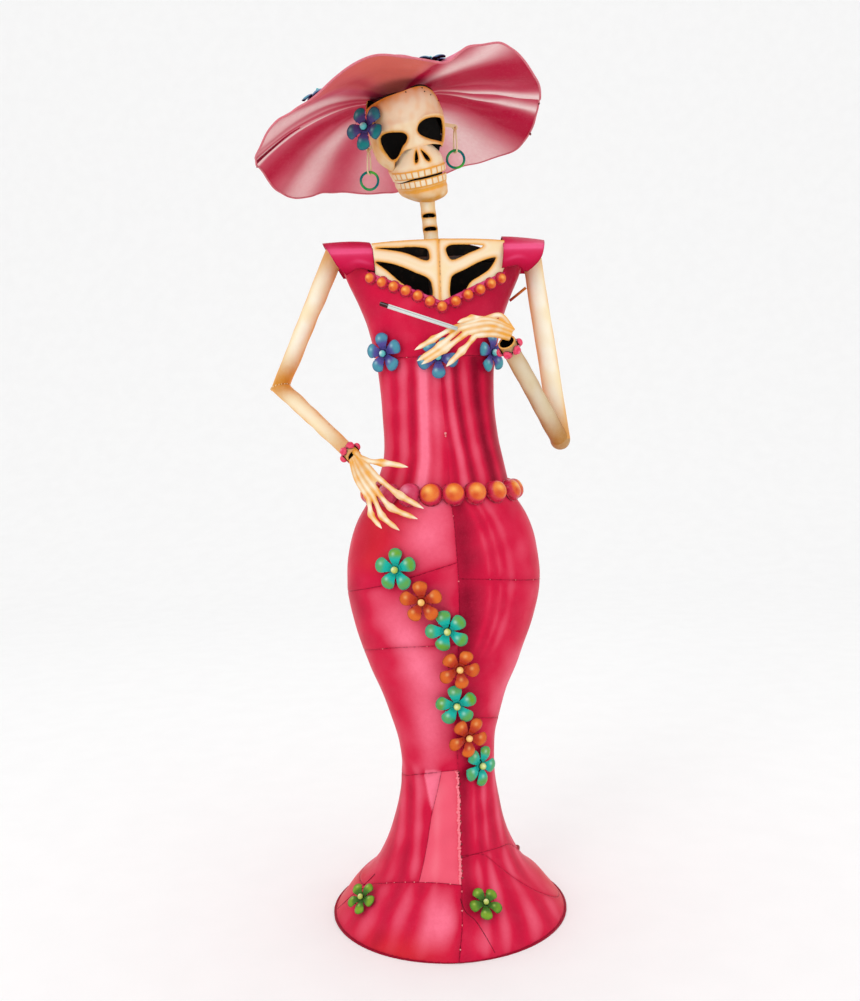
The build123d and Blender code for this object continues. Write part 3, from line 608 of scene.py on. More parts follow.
def paint_dress(P, off, z):
    """Light, dark and extra masks of the dress. off is the angle from the crease in degrees."""
    left, right = off < 0, off >= 0
    curl = off + 0.05 * (z - 560) * np.sign(off)
    waist = step(z, 492, 500) * (1 - step(z, 639, 643))
    front = bump(off, 0, 95)
    s = streaks(
        curl,
        [
            (-25, 5.0, 1.25), (-24, 12, 0.3), (-38, 4, -0.55), (-48, 5, 0.45), (-58, 4, -0.3),
            (-70, 7, 0.25), (-9, 5, 0.3),
        ],
    )
    s = s + streaks(
        curl,
        [
            (4, 3, -0.35), (12, 4.5, 0.5), (21, 4, -0.85), (31, 5, 0.3), (43, 6, -1.2), (62, 9, -0.9),
            (52, 3, 0.3),
        ],
    )
    back = streaks(
        off, [(k * 24 - 170, 6, 0.4) for k in range(4)] + [(k * 24 + 86, 6, 0.4) for k in range(5)]
    )
    pleats = waist * (s * front + back * (1 - front))
    bodice = step(z, 639, 644)
    pleats = pleats + bodice * (0.12 * bump(off, -30, 25) - 0.35 * right * step(z, 650, 720) - 0.15)
    # hips: soft pink in the middle of the left half, curved folds on the right half
    hips = step(z, 300, 330) * (1 - step(z, 486, 492))
    arc = off - 26 * np.sqrt(np.clip(1 - ((z - 400) / 110) ** 2, 0, 1))
    folds = streaks(arc, [(-4, 2.6, 0.32), (4, 2.2, 0.28), (12, 3.2, 0.28)]) * right
    hips_paint = folds - 0.75 * bump(off, 4, 10) * right - 0.2 * bump(off, 20, 16) * right
    hips_paint = (
        hips_paint + left * (0.6 * bump(off, -18, 17) * step(z, 395, 440) + 0.1 - 0.3 * bump(off, -75, 18))
    )
    pleats = pleats + hips * hips_paint
    low_left = left * (0.7 * bump(off + 0.25 * (z - 330), -38, 17) * bump(z, 320, 75))
    low_left = low_left + left * 0.65 * bump(off, -34, 16) * bump(z, 225, 75)
    pleats = pleats + low_left * (1 - step(z, 375, 410))
    low_right = right * (
        0.5 * bump(off, 55, 20) * bump(z, 270, 55) - 0.4 * bump(off, 15, 20) * bump(z, 250, 120)
    )
    pleats = pleats + low_right * (1 - hips)
    # flare and hem: folds that fan out
    flare = 1 - step(z, 172, 186)
    fan = off * (1 + 0.0035 * (175 - z))
    fl = streaks(
        fan,
        [(-28, 5, 0.45), (-42, 5, -0.35), (-54, 6, 0.5), (-68, 6, -0.4), (-84, 8, 0.35), (-100, 6, -0.3)],
    )
    fr = streaks(
        fan,
        [
            (5, 8, -0.95), (20, 4, 0.35), (27, 4, -0.3), (37, 4.5, 0.55), (50, 6, -0.35), (66, 7, 0.5),
            (84, 8, -0.4), (100, 8, 0.3),
        ],
    )
    fb = streaks(
        off, [(k * 30 - 170, 7, 0.4) for k in range(3)] + [(k * 30 + 110, 7, 0.4) for k in range(3)]
    )
    hot = 0.9 * bump(fan, -17, 14) * bump(z, 34, 20) + 0.6 * bump(fan, 6, 12) * bump(z, 18, 16) * right
    pleats = pleats + flare * (0.62 * (fl + fr + fb) + hot)
    pleats = pleats + 0.07 * wobble(P, 46, 4)
    corner = T_GORE(z) - 21 * np.clip((z - 132) / 39, 0, 1)
    triangle = left * step(z, 130, 140) * (1 - step(z, 176, 180))
    triangle = triangle * step(off, corner - 1.0, corner + 1.0) * (off < T_GORE(z))
    pleats = pleats + 0.9 * triangle
    tan = flare * (bump(off, 92, 14) + bump(off, -98, 12)) * (1 - step(z, 25, 60)) * 0.7
    warm = left * (
        0.55 * bump(off, -62, 20) * step(z, 395, 420) * (1 - step(z, 480, 490))
        + 0.7 * bump(off, -30, 22) * (1 - step(z, 2, 30))
    )
    return np.clip(pleats, 0, 1), np.clip(-pleats, 0, 1), np.clip(tan + warm, 0, 1)


def panel(
    name, cad, side, z_low, z_high, a0=None, a1=None, mat="dress", nu=110, nv=64, drop=0.0,
    plain=False,
):
    """A dress panel. z_low and z_high give its seams' heights as functions of the angle from the crease,
    a0 and a1 its side edges, in degrees from the crease, as functions of height."""
    zl = z_low if callable(z_low) else (lambda a: a * 0 + z_low)
    zh = z_high if callable(z_high) else (lambda a: a * 0 + z_high)
    s = spread(nu, 0.02)[:, None]
    t = spread(nv, 0.03)[None, :]
    a = np.zeros((s.size, t.size)) + side * 90
    z = a * 0
    for _ in range(6):
        low, high = zl(np.abs(a)) + SEAM_GAP, zh(np.abs(a)) - SEAM_GAP
        z = low + (high - low) * t
        crease = T_CREASE(z)
        start = a0(z) if a0 else side * (0.01 if plain else SEAM_TURN)
        end = a1(z) if a1 else side * (180 - SEAM_TURN) - crease
        a = start + (end - start) * s
    P = dress(z, np.radians(a + crease))
    # distances to the panel's edges
    wide = np.linalg.norm(np.diff(P, axis=0), axis=-1)
    ds = np.concatenate([np.zeros((1, t.size)), np.cumsum(wide, 0)])
    ds = np.minimum(ds + (60 if plain else 0), ds[-1] - ds)
    high = np.linalg.norm(np.diff(P, axis=1), axis=-1)
    dt = np.concatenate([np.zeros((s.size, 1)), np.cumsum(high, 1)], 1)
    dt = np.minimum(dt, dt[:, -1:] - dt)
    d = np.minimum(ds, dt)
    N = normals(P)
    turn = 1 if side > 0 else -1
    N = N * turn
    inward = 0.3 * np.exp(-((d / 0.9) ** 2)) + 0.28 * (1 + wobble(P, 60, 11)) * step(d, 0, 15) + drop
    P = P - N * inward[..., None]
    light, dark, extra = paint_dress(P, a, z)
    grime = np.exp(-((d / 0.6) ** 2)) * 0.55
    halo = 0.22 * np.exp(-d / 4.0)
    fx = masks(P.shape[:2], light - halo, np.maximum(dark, halo), grime, extra)
    return add(name, sheet(P, SHEET, fx, side=turn), mat, cad=cad)


# Seams of the dress: height against the angle from the crease, on her right and on her left
R_FLARE = track([(0, 61.5), (16, 63.2), (32, 61.8), (49, 57.2), (68, 48), (84, 38), (120, 37), (190, 50)])
R_KNEE = track([(0, 179.5), (21.5, 177), (48.5, 172), (86, 163), (190, 158)])
R_THIGH = track([(0, 327), (21, 325.5), (52, 321.8), (78, 314.5), (110, 306), (190, 300)])
R_HIP = track([(0, 417.5), (30, 403.4), (52.5, 392.6), (105, 377), (190, 375)])
L_FLARE = track(
    [(0, 86.6), (21, 85.6), (35.6, 68.5), (52.6, 43.8), (60, 32.4), (79, 12.5), (95, 7), (140, 7), (190, 8)]
)
L_KNEE = track([(0, 88.2), (21, 87.4), (40, 85.5), (63, 80), (88, 61), (110, 62), (145, 110), (190, 156)])
L_THIGH = track([(0, 240), (27.6, 236.3), (66, 227.3), (110, 222), (190, 222)])
L_HIP = track([(0, 400), (15, 398), (29.6, 395.6), (65.6, 388.5), (110, 382), (190, 380)])
WAIST = track([(0, 491), (190, 491)])
CHEST = track([(0, 642), (80, 641), (100, 634), (190, 634)])


def build_dress():
    """The dress below the bodice, panel by panel."""
    panel("hem_band_right", ["hem_band_right"], -1, 1.7, R_FLARE, nu=150, nv=30)
    panel("hem_band_left", ["hem_band_left"], 1, 1.7, L_FLARE, nu=150, nv=40)
    panel(
        "skirt_gore", ["skirt_gore_front"], -1, R_FLARE, R_KNEE, a1=T_GORE, mat="gore", nu=20,
        drop=-0.25,
    )
    panel("skirt_flare_right", ["skirt_flare_right"], -1, R_FLARE, R_KNEE, a0=lambda z: T_GORE(z) - 0.25)
    panel("skirt_flare_left", ["skirt_flare_left"], 1, L_FLARE, L_KNEE, nv=30)
    panel("skirt_knee_right", ["skirt_knee_right"], -1, R_KNEE, R_THIGH)
    panel("skirt_knee_left", ["skirt_knee_left"], 1, L_KNEE, L_THIGH)
    panel("skirt_thigh_right", ["skirt_thigh_right"], -1, R_THIGH, R_HIP)
    panel("skirt_thigh_left", ["skirt_thigh_left"], 1, L_THIGH, L_HIP, nv=90)
    panel("skirt_hip_right", ["skirt_hip_right"], -1, R_HIP, WAIST)
    panel("skirt_hip_left", ["skirt_hip_left"], 1, L_HIP, WAIST)
    panel("waist_right", ["waist_right"], -1, WAIST, CHEST, plain=True)
    panel("waist_left", ["waist_left"], 1, WAIST, CHEST, plain=True)


NECKLINE = [(-70.0, 737.5), (10.6, 701.0), (80.0, 733.5)]


def build_bodice():
    """Front and back halves. The front's top edge is the V neck, then the armhole."""
    (x0, z0), (x1, z1), (x2, z2) = NECKLINE

    def top(side):
        def height(a):
            a = np.asarray(a, float)
            z = np.full_like(a, 720.0)
            for _ in range(12):
                x = dress(z, np.radians(side * a + T_CREASE(z)))[..., 0]
                ends = (x0, z0) if side < 0 else (x2, z2)
                share = (x - x1) / (ends[0] - x1)
                rise = (ends[1] - z1) * np.clip(share, 0, 1.0) + 15 * step(share, 0.97, 1.1)
                z = 0.5 * z + 0.5 * (z1 + rise)
            return z
        return height

    for side, name in ((-1, "right"), (1, "left")):
        panel(
            f"bodice_front_{name}", [f"bodice_front_{name}"], side, CHEST, top(side),
            a1=lambda z, s=side: z * 0 + s * 89.6 - T_CREASE(z), nu=90, nv=70, plain=True,
        )
        back_top = track(
            [(60, 736.3), (95, 736.3), (101, 752), (108, 768), (118, 778), (140, 782.6), (190, 782.6)]
        )
        panel(
            f"bodice_back_{name}", [f"bodice_back_{name}"], side, CHEST, back_top,
            a0=lambda z, s=side: z * 0 + s * 90.1 - T_CREASE(z), nu=80, nv=70,
        )


# ------------------------------------------------------------------ weld beads on the dress
def seam_line(side, height, a0, a1, n=40):
    """Points along a dress seam, in the row frame."""
    a = np.linspace(a0, a1, n)
    z = height(np.abs(a)) if callable(height) else np.full(n, height)
    return dress(z, np.radians(side * a + T_CREASE(z)))


def crease_line(z0, z1, n=60):
    """Points down the front crease."""
    z = np.linspace(z0, z1, n)
    return dress(z, np.radians(T_CREASE(z)))


def build_welds():
    """Weld spots along the seams, the torn lip beside the pale strip, and short cuts in the hem."""
    pale = [
        beads(seam_line(1, L_HIP, 12, 80), 34, 0.7, 3),
        beads(seam_line(1, CHEST, 10, 70), 34, 0.7, 5, 0.6),
        beads(seam_line(-1, CHEST, 4, 60), 20, 0.8, 6, 0.7),
        beads(seam_line(-1, R_THIGH, 10, 80), 40, 0.7, 7, 0.7),
        beads(seam_line(-1, R_FLARE, 3, 70), 16, 0.7, 8, 0.7),
        beads(crease_line(330, 480), 50, 0.8, 9, 0.7),
        beads(crease_line(552, 558), 4, 1.3, 10),
        beads(crease_line(5, 60), 17, 1.0, 11),
    ]
    add("seam_welds", join(pale), "weld")
    z = np.linspace(62, 178, 180)
    a = np.radians(T_CREASE(z) - 0.9 + 0.35 * wobble(np.stack([z, z * 0, z * 0], -1), 9, 5))
    lip = dress(z, a) + np.array([0, -0.2, 0])
    r = 1.0 + 0.8 * np.abs(wobble(lip, 6, 12))
    add("gore_lip", tube(lip, r, 10, fx=np.tile([0.9, 0.0, 0.0, 0.2], (180, 1))), "gore")
    torn = [
        beads(crease_line(64, 182) + np.array([1.1, -0.3, 0]), 9, 1.1, 12),
        beads(crease_line(160, 182), 6, 1.5, 13),
    ]
    add("gore_welds", join(torn), "weld_dark")
    marks = []
    for rows in (
        [(6.3, 50), (8.5, 40), (13, 33), (16.6, 20.4), (19.6, 5)],
        [(-85, 3.9), (-80, 18), (-76.2, 29.8), (-72.6, 51.3)],
    ):
        rows = spline(rows, 40)
        marks.append(
            tube(dress(rows[:, 1], np.radians(rows[:, 0])), 0.28, 8, fx=np.tile([0, 1.0, 0, 0], (40, 1)))
        )
    tab = dress(62.0, math.radians(97.0))
    marks.append(blob(tab, 3.0, (0.9, 0.6, 1.3), seed=4))
    add("hem_cuts", join(marks), "weld_dark")
    back = [
        beads(seam_line(side, h, 178, 100), 18, 0.9, 20 + k)
        for side in (-1, 1) for k, h in enumerate((WAIST, CHEST))
    ]
    z = np.linspace(4, 765, 120)
    spine = dress(z, np.full(120, math.pi))
    back.append(beads(spine, 24, 1.1, 30))
    add("back_welds", join(back), "weld")


# ------------------------------------------------------------------ domes
# radius and height
BELT_DOME, NECK_DOME, BEAD = (13.0, 12.2), (6.6, 6.4), (4.6, 4.6)
NECK_DOMES = [(-67, 731), (-54, 725), (-41.5, 719.5), (-28.5, 714), (-15.5, 708), (-2.5, 701.5)]
NECK_DOMES += [(10.5, 695.7), (25.5, 701), (39, 708), (52.5, 714), (64.5, 720.5), (76, 727)]


def dome_paint(R):
    """A lit patch up and left, a shaded one opposite, and the pink skirt of the dome."""
    def paint(P):
        x, y = P[..., 0] / R, P[..., 1] / R
        r = np.hypot(x, y)
        light = 0.95 * bump(np.hypot(x + 0.16, y - 0.14), 0, 0.34)
        dark = 0.8 * bump(np.hypot(x + 0.42, y + 0.34), 0, 0.34)
        return masks(P.shape[:2], light, dark, bump(r, 1.0, 0.05), step(r, 0.66, 0.88))
    return paint


def stamped_dome(R, H, seed, t=0.8):
    """A stamped cup with a small flange."""
    s = np.linspace(0, math.pi / 2, 18)
    rows = [(max(0.02, R * 0.96 * math.sin(k)), H * math.cos(k) ** 0.85 if k < 1.57 else 0.0) for k in s]
    rows += [(R * 0.985, -0.1), (R, 0.1)]
    return lathe(rows, 40, t=t, paint=dome_paint(R), dent=0.012, seed=seed)


def build_domes():
    """The stamped domes of the belt and of the neckline."""
    orange, rose = [], []
    for k in range(BELT_DOMES):
        a = math.radians(BELT_START + 360 * k / BELT_DOMES)
        p, n = dress_frame(BELT_Z, a)
        piece = moved(stamped_dome(*BELT_DOME, 40 + k), p + n * 1.6, n, spin=0.15 * math.sin(5 * k))
        (rose if k < 2 else orange).append(piece)
    add("belt_domes_orange", join(orange), "dome", cad=["belt_domes"], sharp=50)
    add("belt_domes_rose", join(rose), "rose_dome", sharp=50)
    neck = []
    for k, (x, z) in enumerate(NECK_DOMES):
        p, n = dress_at(x, z)
        neck.append(moved(stamped_dome(*NECK_DOME, 70 + k, 0.6), p + n * 0.5, n))
    add("necklace", join(neck), "dome", cad=["necklace_domes"], sharp=50)


def neckline(x):
    """Height of the V neck."""
    (x0, z0), (x1, z1), (x2, z2) = NECKLINE
    return np.interp(x, [x0, x1, x2], [z0, z1, z2])


def build_strips():
    """The bright strips along the V neck, under the small domes."""
    for side, x_end, name in ((-1, -71, "right"), (1, 81, "left")):
        x = np.linspace(10.6 + side * 0.3, x_end, 90)
        w = np.linspace(-6.5, 0.6, 12)
        P = np.zeros((x.size, w.size, 3))
        for i, xi in enumerate(x):
            p, n = dress_at(xi, float(neckline(xi)))
            q, _ = dress_at(xi + side * 0.3, float(neckline(xi)) - 6)
            down = (q - p) / 6.05
            lift = 0.75 + 0.35 * np.cos(w * 0.9)
            P[i] = p - down * w[:, None] * 1.0 + n * lift[:, None]
        d = np.minimum(w + 6.5, 0.6 - w)[None, :] + 0 * P[..., 0]
        fx = masks(
            P.shape[:2], 0.25 * (1 + wobble(P, 14, 5)), 0.3 * np.exp(-d), np.exp(-((d / 0.5) ** 2)) * 0.6
        )
        add(f"neckline_strip_{name}", sheet(P, 0.6, fx, side=side), "strip")


# ------------------------------------------------------------------ flowers
def petals(R, seed, tip=0.62):
    """A five petal blank, each petal domed, with its paint masks."""
    r = np.random.default_rng(seed)
    points, tilt = [], []
    for k in range(5):
        turn = 72 * k + 90 + r.uniform(-3, 3)
        long, wide = r.uniform(0.95, 1.04), r.uniform(0.95, 1.06)
        a = math.radians(turn)
        tilt.append((a, long, wide, r.uniform(-0.10, 0.12), r.uniform(0.6, 1.0)))
        v = math.radians(turn - 36)
        points.append((0.25 * math.cos(v), 0.25 * math.sin(v)))
        side = [(x, -y) for x, y in PETAL] + [(x, y) for x, y in PETAL[-2::-1]]
        for x, y in side:
            x, y = x * long, y * wide
            points.append((x * math.cos(a) - y * math.sin(a), x * math.sin(a) + y * math.cos(a)))
    edge = loop(points, 300)
    v = np.concatenate([[0.02, 0.13], np.linspace(0.2, 0.9, 18), [0.94, 0.97, 0.99, 1.0]])
    xy = edge[:, None, :] * v[None, :, None]
    x, y = xy[..., 0], xy[..., 1]
    rr = np.hypot(x, y)
    h, light, shine = 0 * x, 0 * x, 0 * x
    for a, long, wide, lean, amount in tilt:
        u, w = (x * math.cos(a) + y * math.sin(a)) / long, (y * math.cos(a) - x * math.sin(a)) / wide
        mine = step(u, 0.2, 0.34) * (np.abs(w) < 0.36)
        q = ((u - 0.62) / 0.40) ** 2 + (w / 0.35) ** 2
        h += mine * (0.125 * np.clip(1 - q, 0, 1) ** 0.8 + lean * np.clip(u - 0.25, 0, 1))
        light += mine * amount * step(u, tip - 0.18, tip + 0.12)
        glint = bump(
            np.hypot(x - (0.62 * long * math.cos(a)) + 0.08, y - 0.62 * long * math.sin(a) - 0.10), 0, 0.08
        )
        shine += mine * glint * 0.55
    h += 0.05 * bump(rr, 0.2, 0.04) + 0.02
    h = h * R
    P = np.stack([x * R, y * R, h], -1)
    d = (1 - v)[None, :] * rr.max(1)[:, None] * R
    fx = masks(
        P.shape[:2], light - 0.4 * np.exp(-d / 1.5),
        0.75 * bump(rr, 0.15, 0.15) + 0.5 * np.exp(-d / 0.8), np.exp(-((d / 0.5) ** 2)) * 0.8, shine,
    )
    return sheet(P, 0.9, fx, wrap=True, side=-1)


def flower_stud(R, lift, seed, ball=0.16):
    """A ball headed stud, its washer, and its shank down to the surface."""
    b = ball * R
    z0 = 1.6 + b * 0.6
    s = np.linspace(0, math.pi * 0.8, 14)
    rows = [(max(0.02, b * math.sin(k)), z0 + b * math.cos(k)) for k in s]
    rows += [(0.10 * R, 1.0), (0.075 * R, 0.5), (0.075 * R, -lift + 0.3), (0.02, -lift + 0.2)]

    # a painted highlight up and left on the ball, and painted shade round its lower half
    def paint(P):
        return masks(
            P.shape[:2],
            0.9 * bump(np.hypot(P[..., 0] + 0.3 * b, P[..., 1] - 0.4 * b), 0, 0.6 * b),
            bump(P[..., 2], z0 - 0.5 * b, 0.35 * b),
        )

    return lathe(rows, 24, paint=paint, dent=0.01, seed=seed)


# x, height and spin, turquoise and orange by turns
SKIRT_FLOWERS = [
    (-47, 410.5, 0), (-19.5, 377.5, 2), (6, 344.5, 17), (16, 303.5, -25), (13, 258.5, 5),
    (21.5, 220.5, -33), (36, 181.5, -27),
]
# half width of a petal against the distance from the middle, both as shares of the flower's radius
PETAL = [
    (0.34, 0.20), (0.43, 0.235), (0.53, 0.285), (0.64, 0.325), (0.75, 0.335), (0.86, 0.285), (0.95, 0.165),
    (0.985, 0.0),
]
# x, height, turn about the vertical, spin
BODICE_FLOWERS = [(-53, 648.5, 12, 2), (4.5, 641, 0, 38), (62, 646.5, 0, 8)]
# angle from the front, height, turn about the vertical, spin
HEM_FLOWERS = [(-60.8, 32.4, 20, -16), (20.5, 41.5, 0, 18)]
# place and direction
TEMPLE_FLOWER = ((-67.5, -44.0, 894.5), (-0.5, -0.86, 0.05))
# angle from the front and distance from the crown's middle
HAT_FLOWERS = [(-33, 139), (17, 131)]


# group: material, slot, and the CAD blanks it replaces
FLOWER_GROUPS = {
    "turquoise": ("turquoise", "petals_turquoise", "skirt_flowers_turquoise"),
    "orange": ("orange", "petals_orange", "skirt_flowers_orange"),
    "green": ("green", "petals_green", "hem_flowers"),
    "blue": ("blue", "petals_blue", "bodice_flowers"),
    "temple": ("temple", "petals_blue", "temple_flower"),
    "hat_blue": ("blue", "petals_blue", "hat_flowers"),
}
# group: piece, and the CAD studs it replaces
STUD_GROUPS = {
    "stud_lime": ("studs_lime", []),
    "stud_amber": ("studs_amber", ["skirt_studs"]),
    "stud_pearl": ("studs_pearl", ["small_studs"]),
}


def swing(n, degrees):
    """A direction turned about the vertical."""
    c, s = math.cos(math.radians(degrees)), math.sin(math.radians(degrees))
    return np.array([n[0] * c - n[1] * s, n[0] * s + n[1] * c, n[2]])


def build_flowers():
    """All the flowers, grouped by colour, and their studs."""
    groups = {}

    def plant(key, stud_key, at, n, R, lift, spin, seed):
        """A flower and its stud, standing lift mm off a surface at a point with normal n."""
        n = unit(np.asarray(n, float))
        where = (np.asarray(at, float) + n * lift, n)
        stud = flower_stud(R, 0.6, seed, 0.09) if key == "hat_blue" else flower_stud(R, lift, seed)
        groups.setdefault(key, []).append(moved(petals(R, seed), *where, spin=math.radians(spin)))
        groups.setdefault(stud_key, []).append(moved(stud, *where))

    for k, (x, z, spin) in enumerate(SKIRT_FLOWERS):
        odd = k % 2
        p, n = dress_at(x, z)
        plant(
            "orange" if odd else "turquoise", "stud_amber" if odd else "stud_lime", p, n, 24.0,
            9.0 if odd else 4.6, spin, 100 + k,
        )
    for k, (x, z, turn, spin) in enumerate(BODICE_FLOWERS):
        p, n = dress_at(x, z)
        plant("blue", "stud_pearl", p, swing(n, turn), 23.5, 4.6, spin, 110 + k)
    for k, (deg, z, turn, spin) in enumerate(HEM_FLOWERS):
        p, n = dress_frame(z, math.radians(deg))
        plant("green", "stud_lime", p, swing(n, turn), 19, 6.6, spin, 120 + k)
    plant("temple", "stud_pearl", np.asarray(TEMPLE_FLOWER[0]), TEMPLE_FLOWER[1], 25.0, 0.01, 27, 130)
    for k, (deg, radius) in enumerate(HAT_FLOWERS):
        p, n = brim_frame(math.radians(deg), radius)
        plant("hat_blue", "stud_pearl", p, n, 20, 4.2, 20, 140 + k)
    for key, shapes in groups.items():
        if key in STUD_GROUPS:
            name, cad = STUD_GROUPS[key]
            add(name, join(shapes), key, cad=cad)
        else:
            mat, slot, cad = FLOWER_GROUPS[key]
            add(f"flowers_{key}", join(shapes), mat, cad=[cad], sharp=45)


# ------------------------------------------------------------------ hat
HAT_AT = (-33.0, 5.0, 940.0)
HAT_LEAN = math.radians(-8.0)
CROWN_R, CROWN_H, BRIM_R = 48.0, 44.0, 167.0
# the brim is two skins: their sheet, and the step between them
BRIM_SHEET, BRIM_GAP = 0.7, 1.35
CROWN_LIFT = np.array([0.0, 0.0, 2.2])
# height of the brim's rim against the angle from the front
BRIM_EDGE = [
    (-85, 872), (-69, 866), (-52, 881), (-33, 889), (-20, 908), (-7, 925), (5, 923), (18, 922), (28, 937),
    (40, 951), (48, 948), (55, 942), (66, 933), (80, 934), (95, 932), (104, 917), (112, 908), (125, 904),
    (140, 905), (159, 898), (179, 879), (199, 876), (217, 870), (233, 857), (248, 859), (264, 870), (275, 867),
]
T_EDGE = track(BRIM_EDGE)
# Painted folds of the brim: angle from the front, half width in degrees, amount
PALE = [(-58, 8, 0.8), (-74, 3, 0.35), (-87, 2.2, 1.4), (-128, 9, 0.75), (-165, 9, 0.45)]
PALE += [(40, 7, 0.9), (85, 2.6, 1.5), (96, 2.0, 1.0), (142, 15, 0.95)]
DEEP = [(-67, 4, 0.45), (-79, 5, 0.4), (-105, 9, 1.2), (-146, 8, 0.4), (-117, 2.5, 0.4)]
DEEP += [(61, 12, 1.5), (76, 4, 0.6), (91, 1.4, 0.4), (108, 10, 1.5), (25, 5, 1.0)]


def brim_reach(a, radius):
    """The rim is a little closer in at both tips."""
    deg = (np.degrees(a) + 85) % 360 - 85
    return radius * (
        1
        - (
            0.03 * bump(deg, -85, 28) + 0.03 * bump(deg, 275, 28) + 0.025 * bump(deg, 86, 26)
        ) * radius / BRIM_R
    )


def brim_height(a, radius):
    deg = (np.degrees(a) + 85) % 360 - 85
    inner = HAT_AT[2] - np.minimum(radius, CROWN_R) * np.sin(a) * math.tan(HAT_LEAN)
    s = np.maximum(radius - CROWN_R, 0) / (BRIM_R - CROWN_R)
    return inner + (T_EDGE(deg) - inner) * (0.35 * s + 0.65 * s * s)


def brim(a, radius):
    """A point of the brim at an angle from the front and a distance from the crown's middle."""
    a, radius = np.broadcast_arrays(np.asarray(a, float), np.asarray(radius, float))
    out = brim_reach(a, radius)
    return np.stack([HAT_AT[0] + out * np.sin(a), HAT_AT[1] - out * np.cos(a), brim_height(a, radius)], -1)


def brim_frame(a, radius):
    """A point of the brim and its normal."""
    n = np.cross(brim(a, radius + 1) - brim(a, radius - 1), brim(a + 0.01, radius) - brim(a - 0.01, radius))
    return brim(a, radius), unit(n)


def fold_sum(deg, rows, s, meander):
    """Painted folds that fan out from the crown; s runs from the crown to the rim."""
    out = np.zeros_like(deg)
    for k, (at, width, amount) in enumerate(rows):
        off = (deg - at + 180) % 360 - 180
        off = off + meander * math.sin(k * 2.3)
        out += amount * np.exp(-((off / (width * (0.75 + 0.5 * s))) ** 2))
    return out


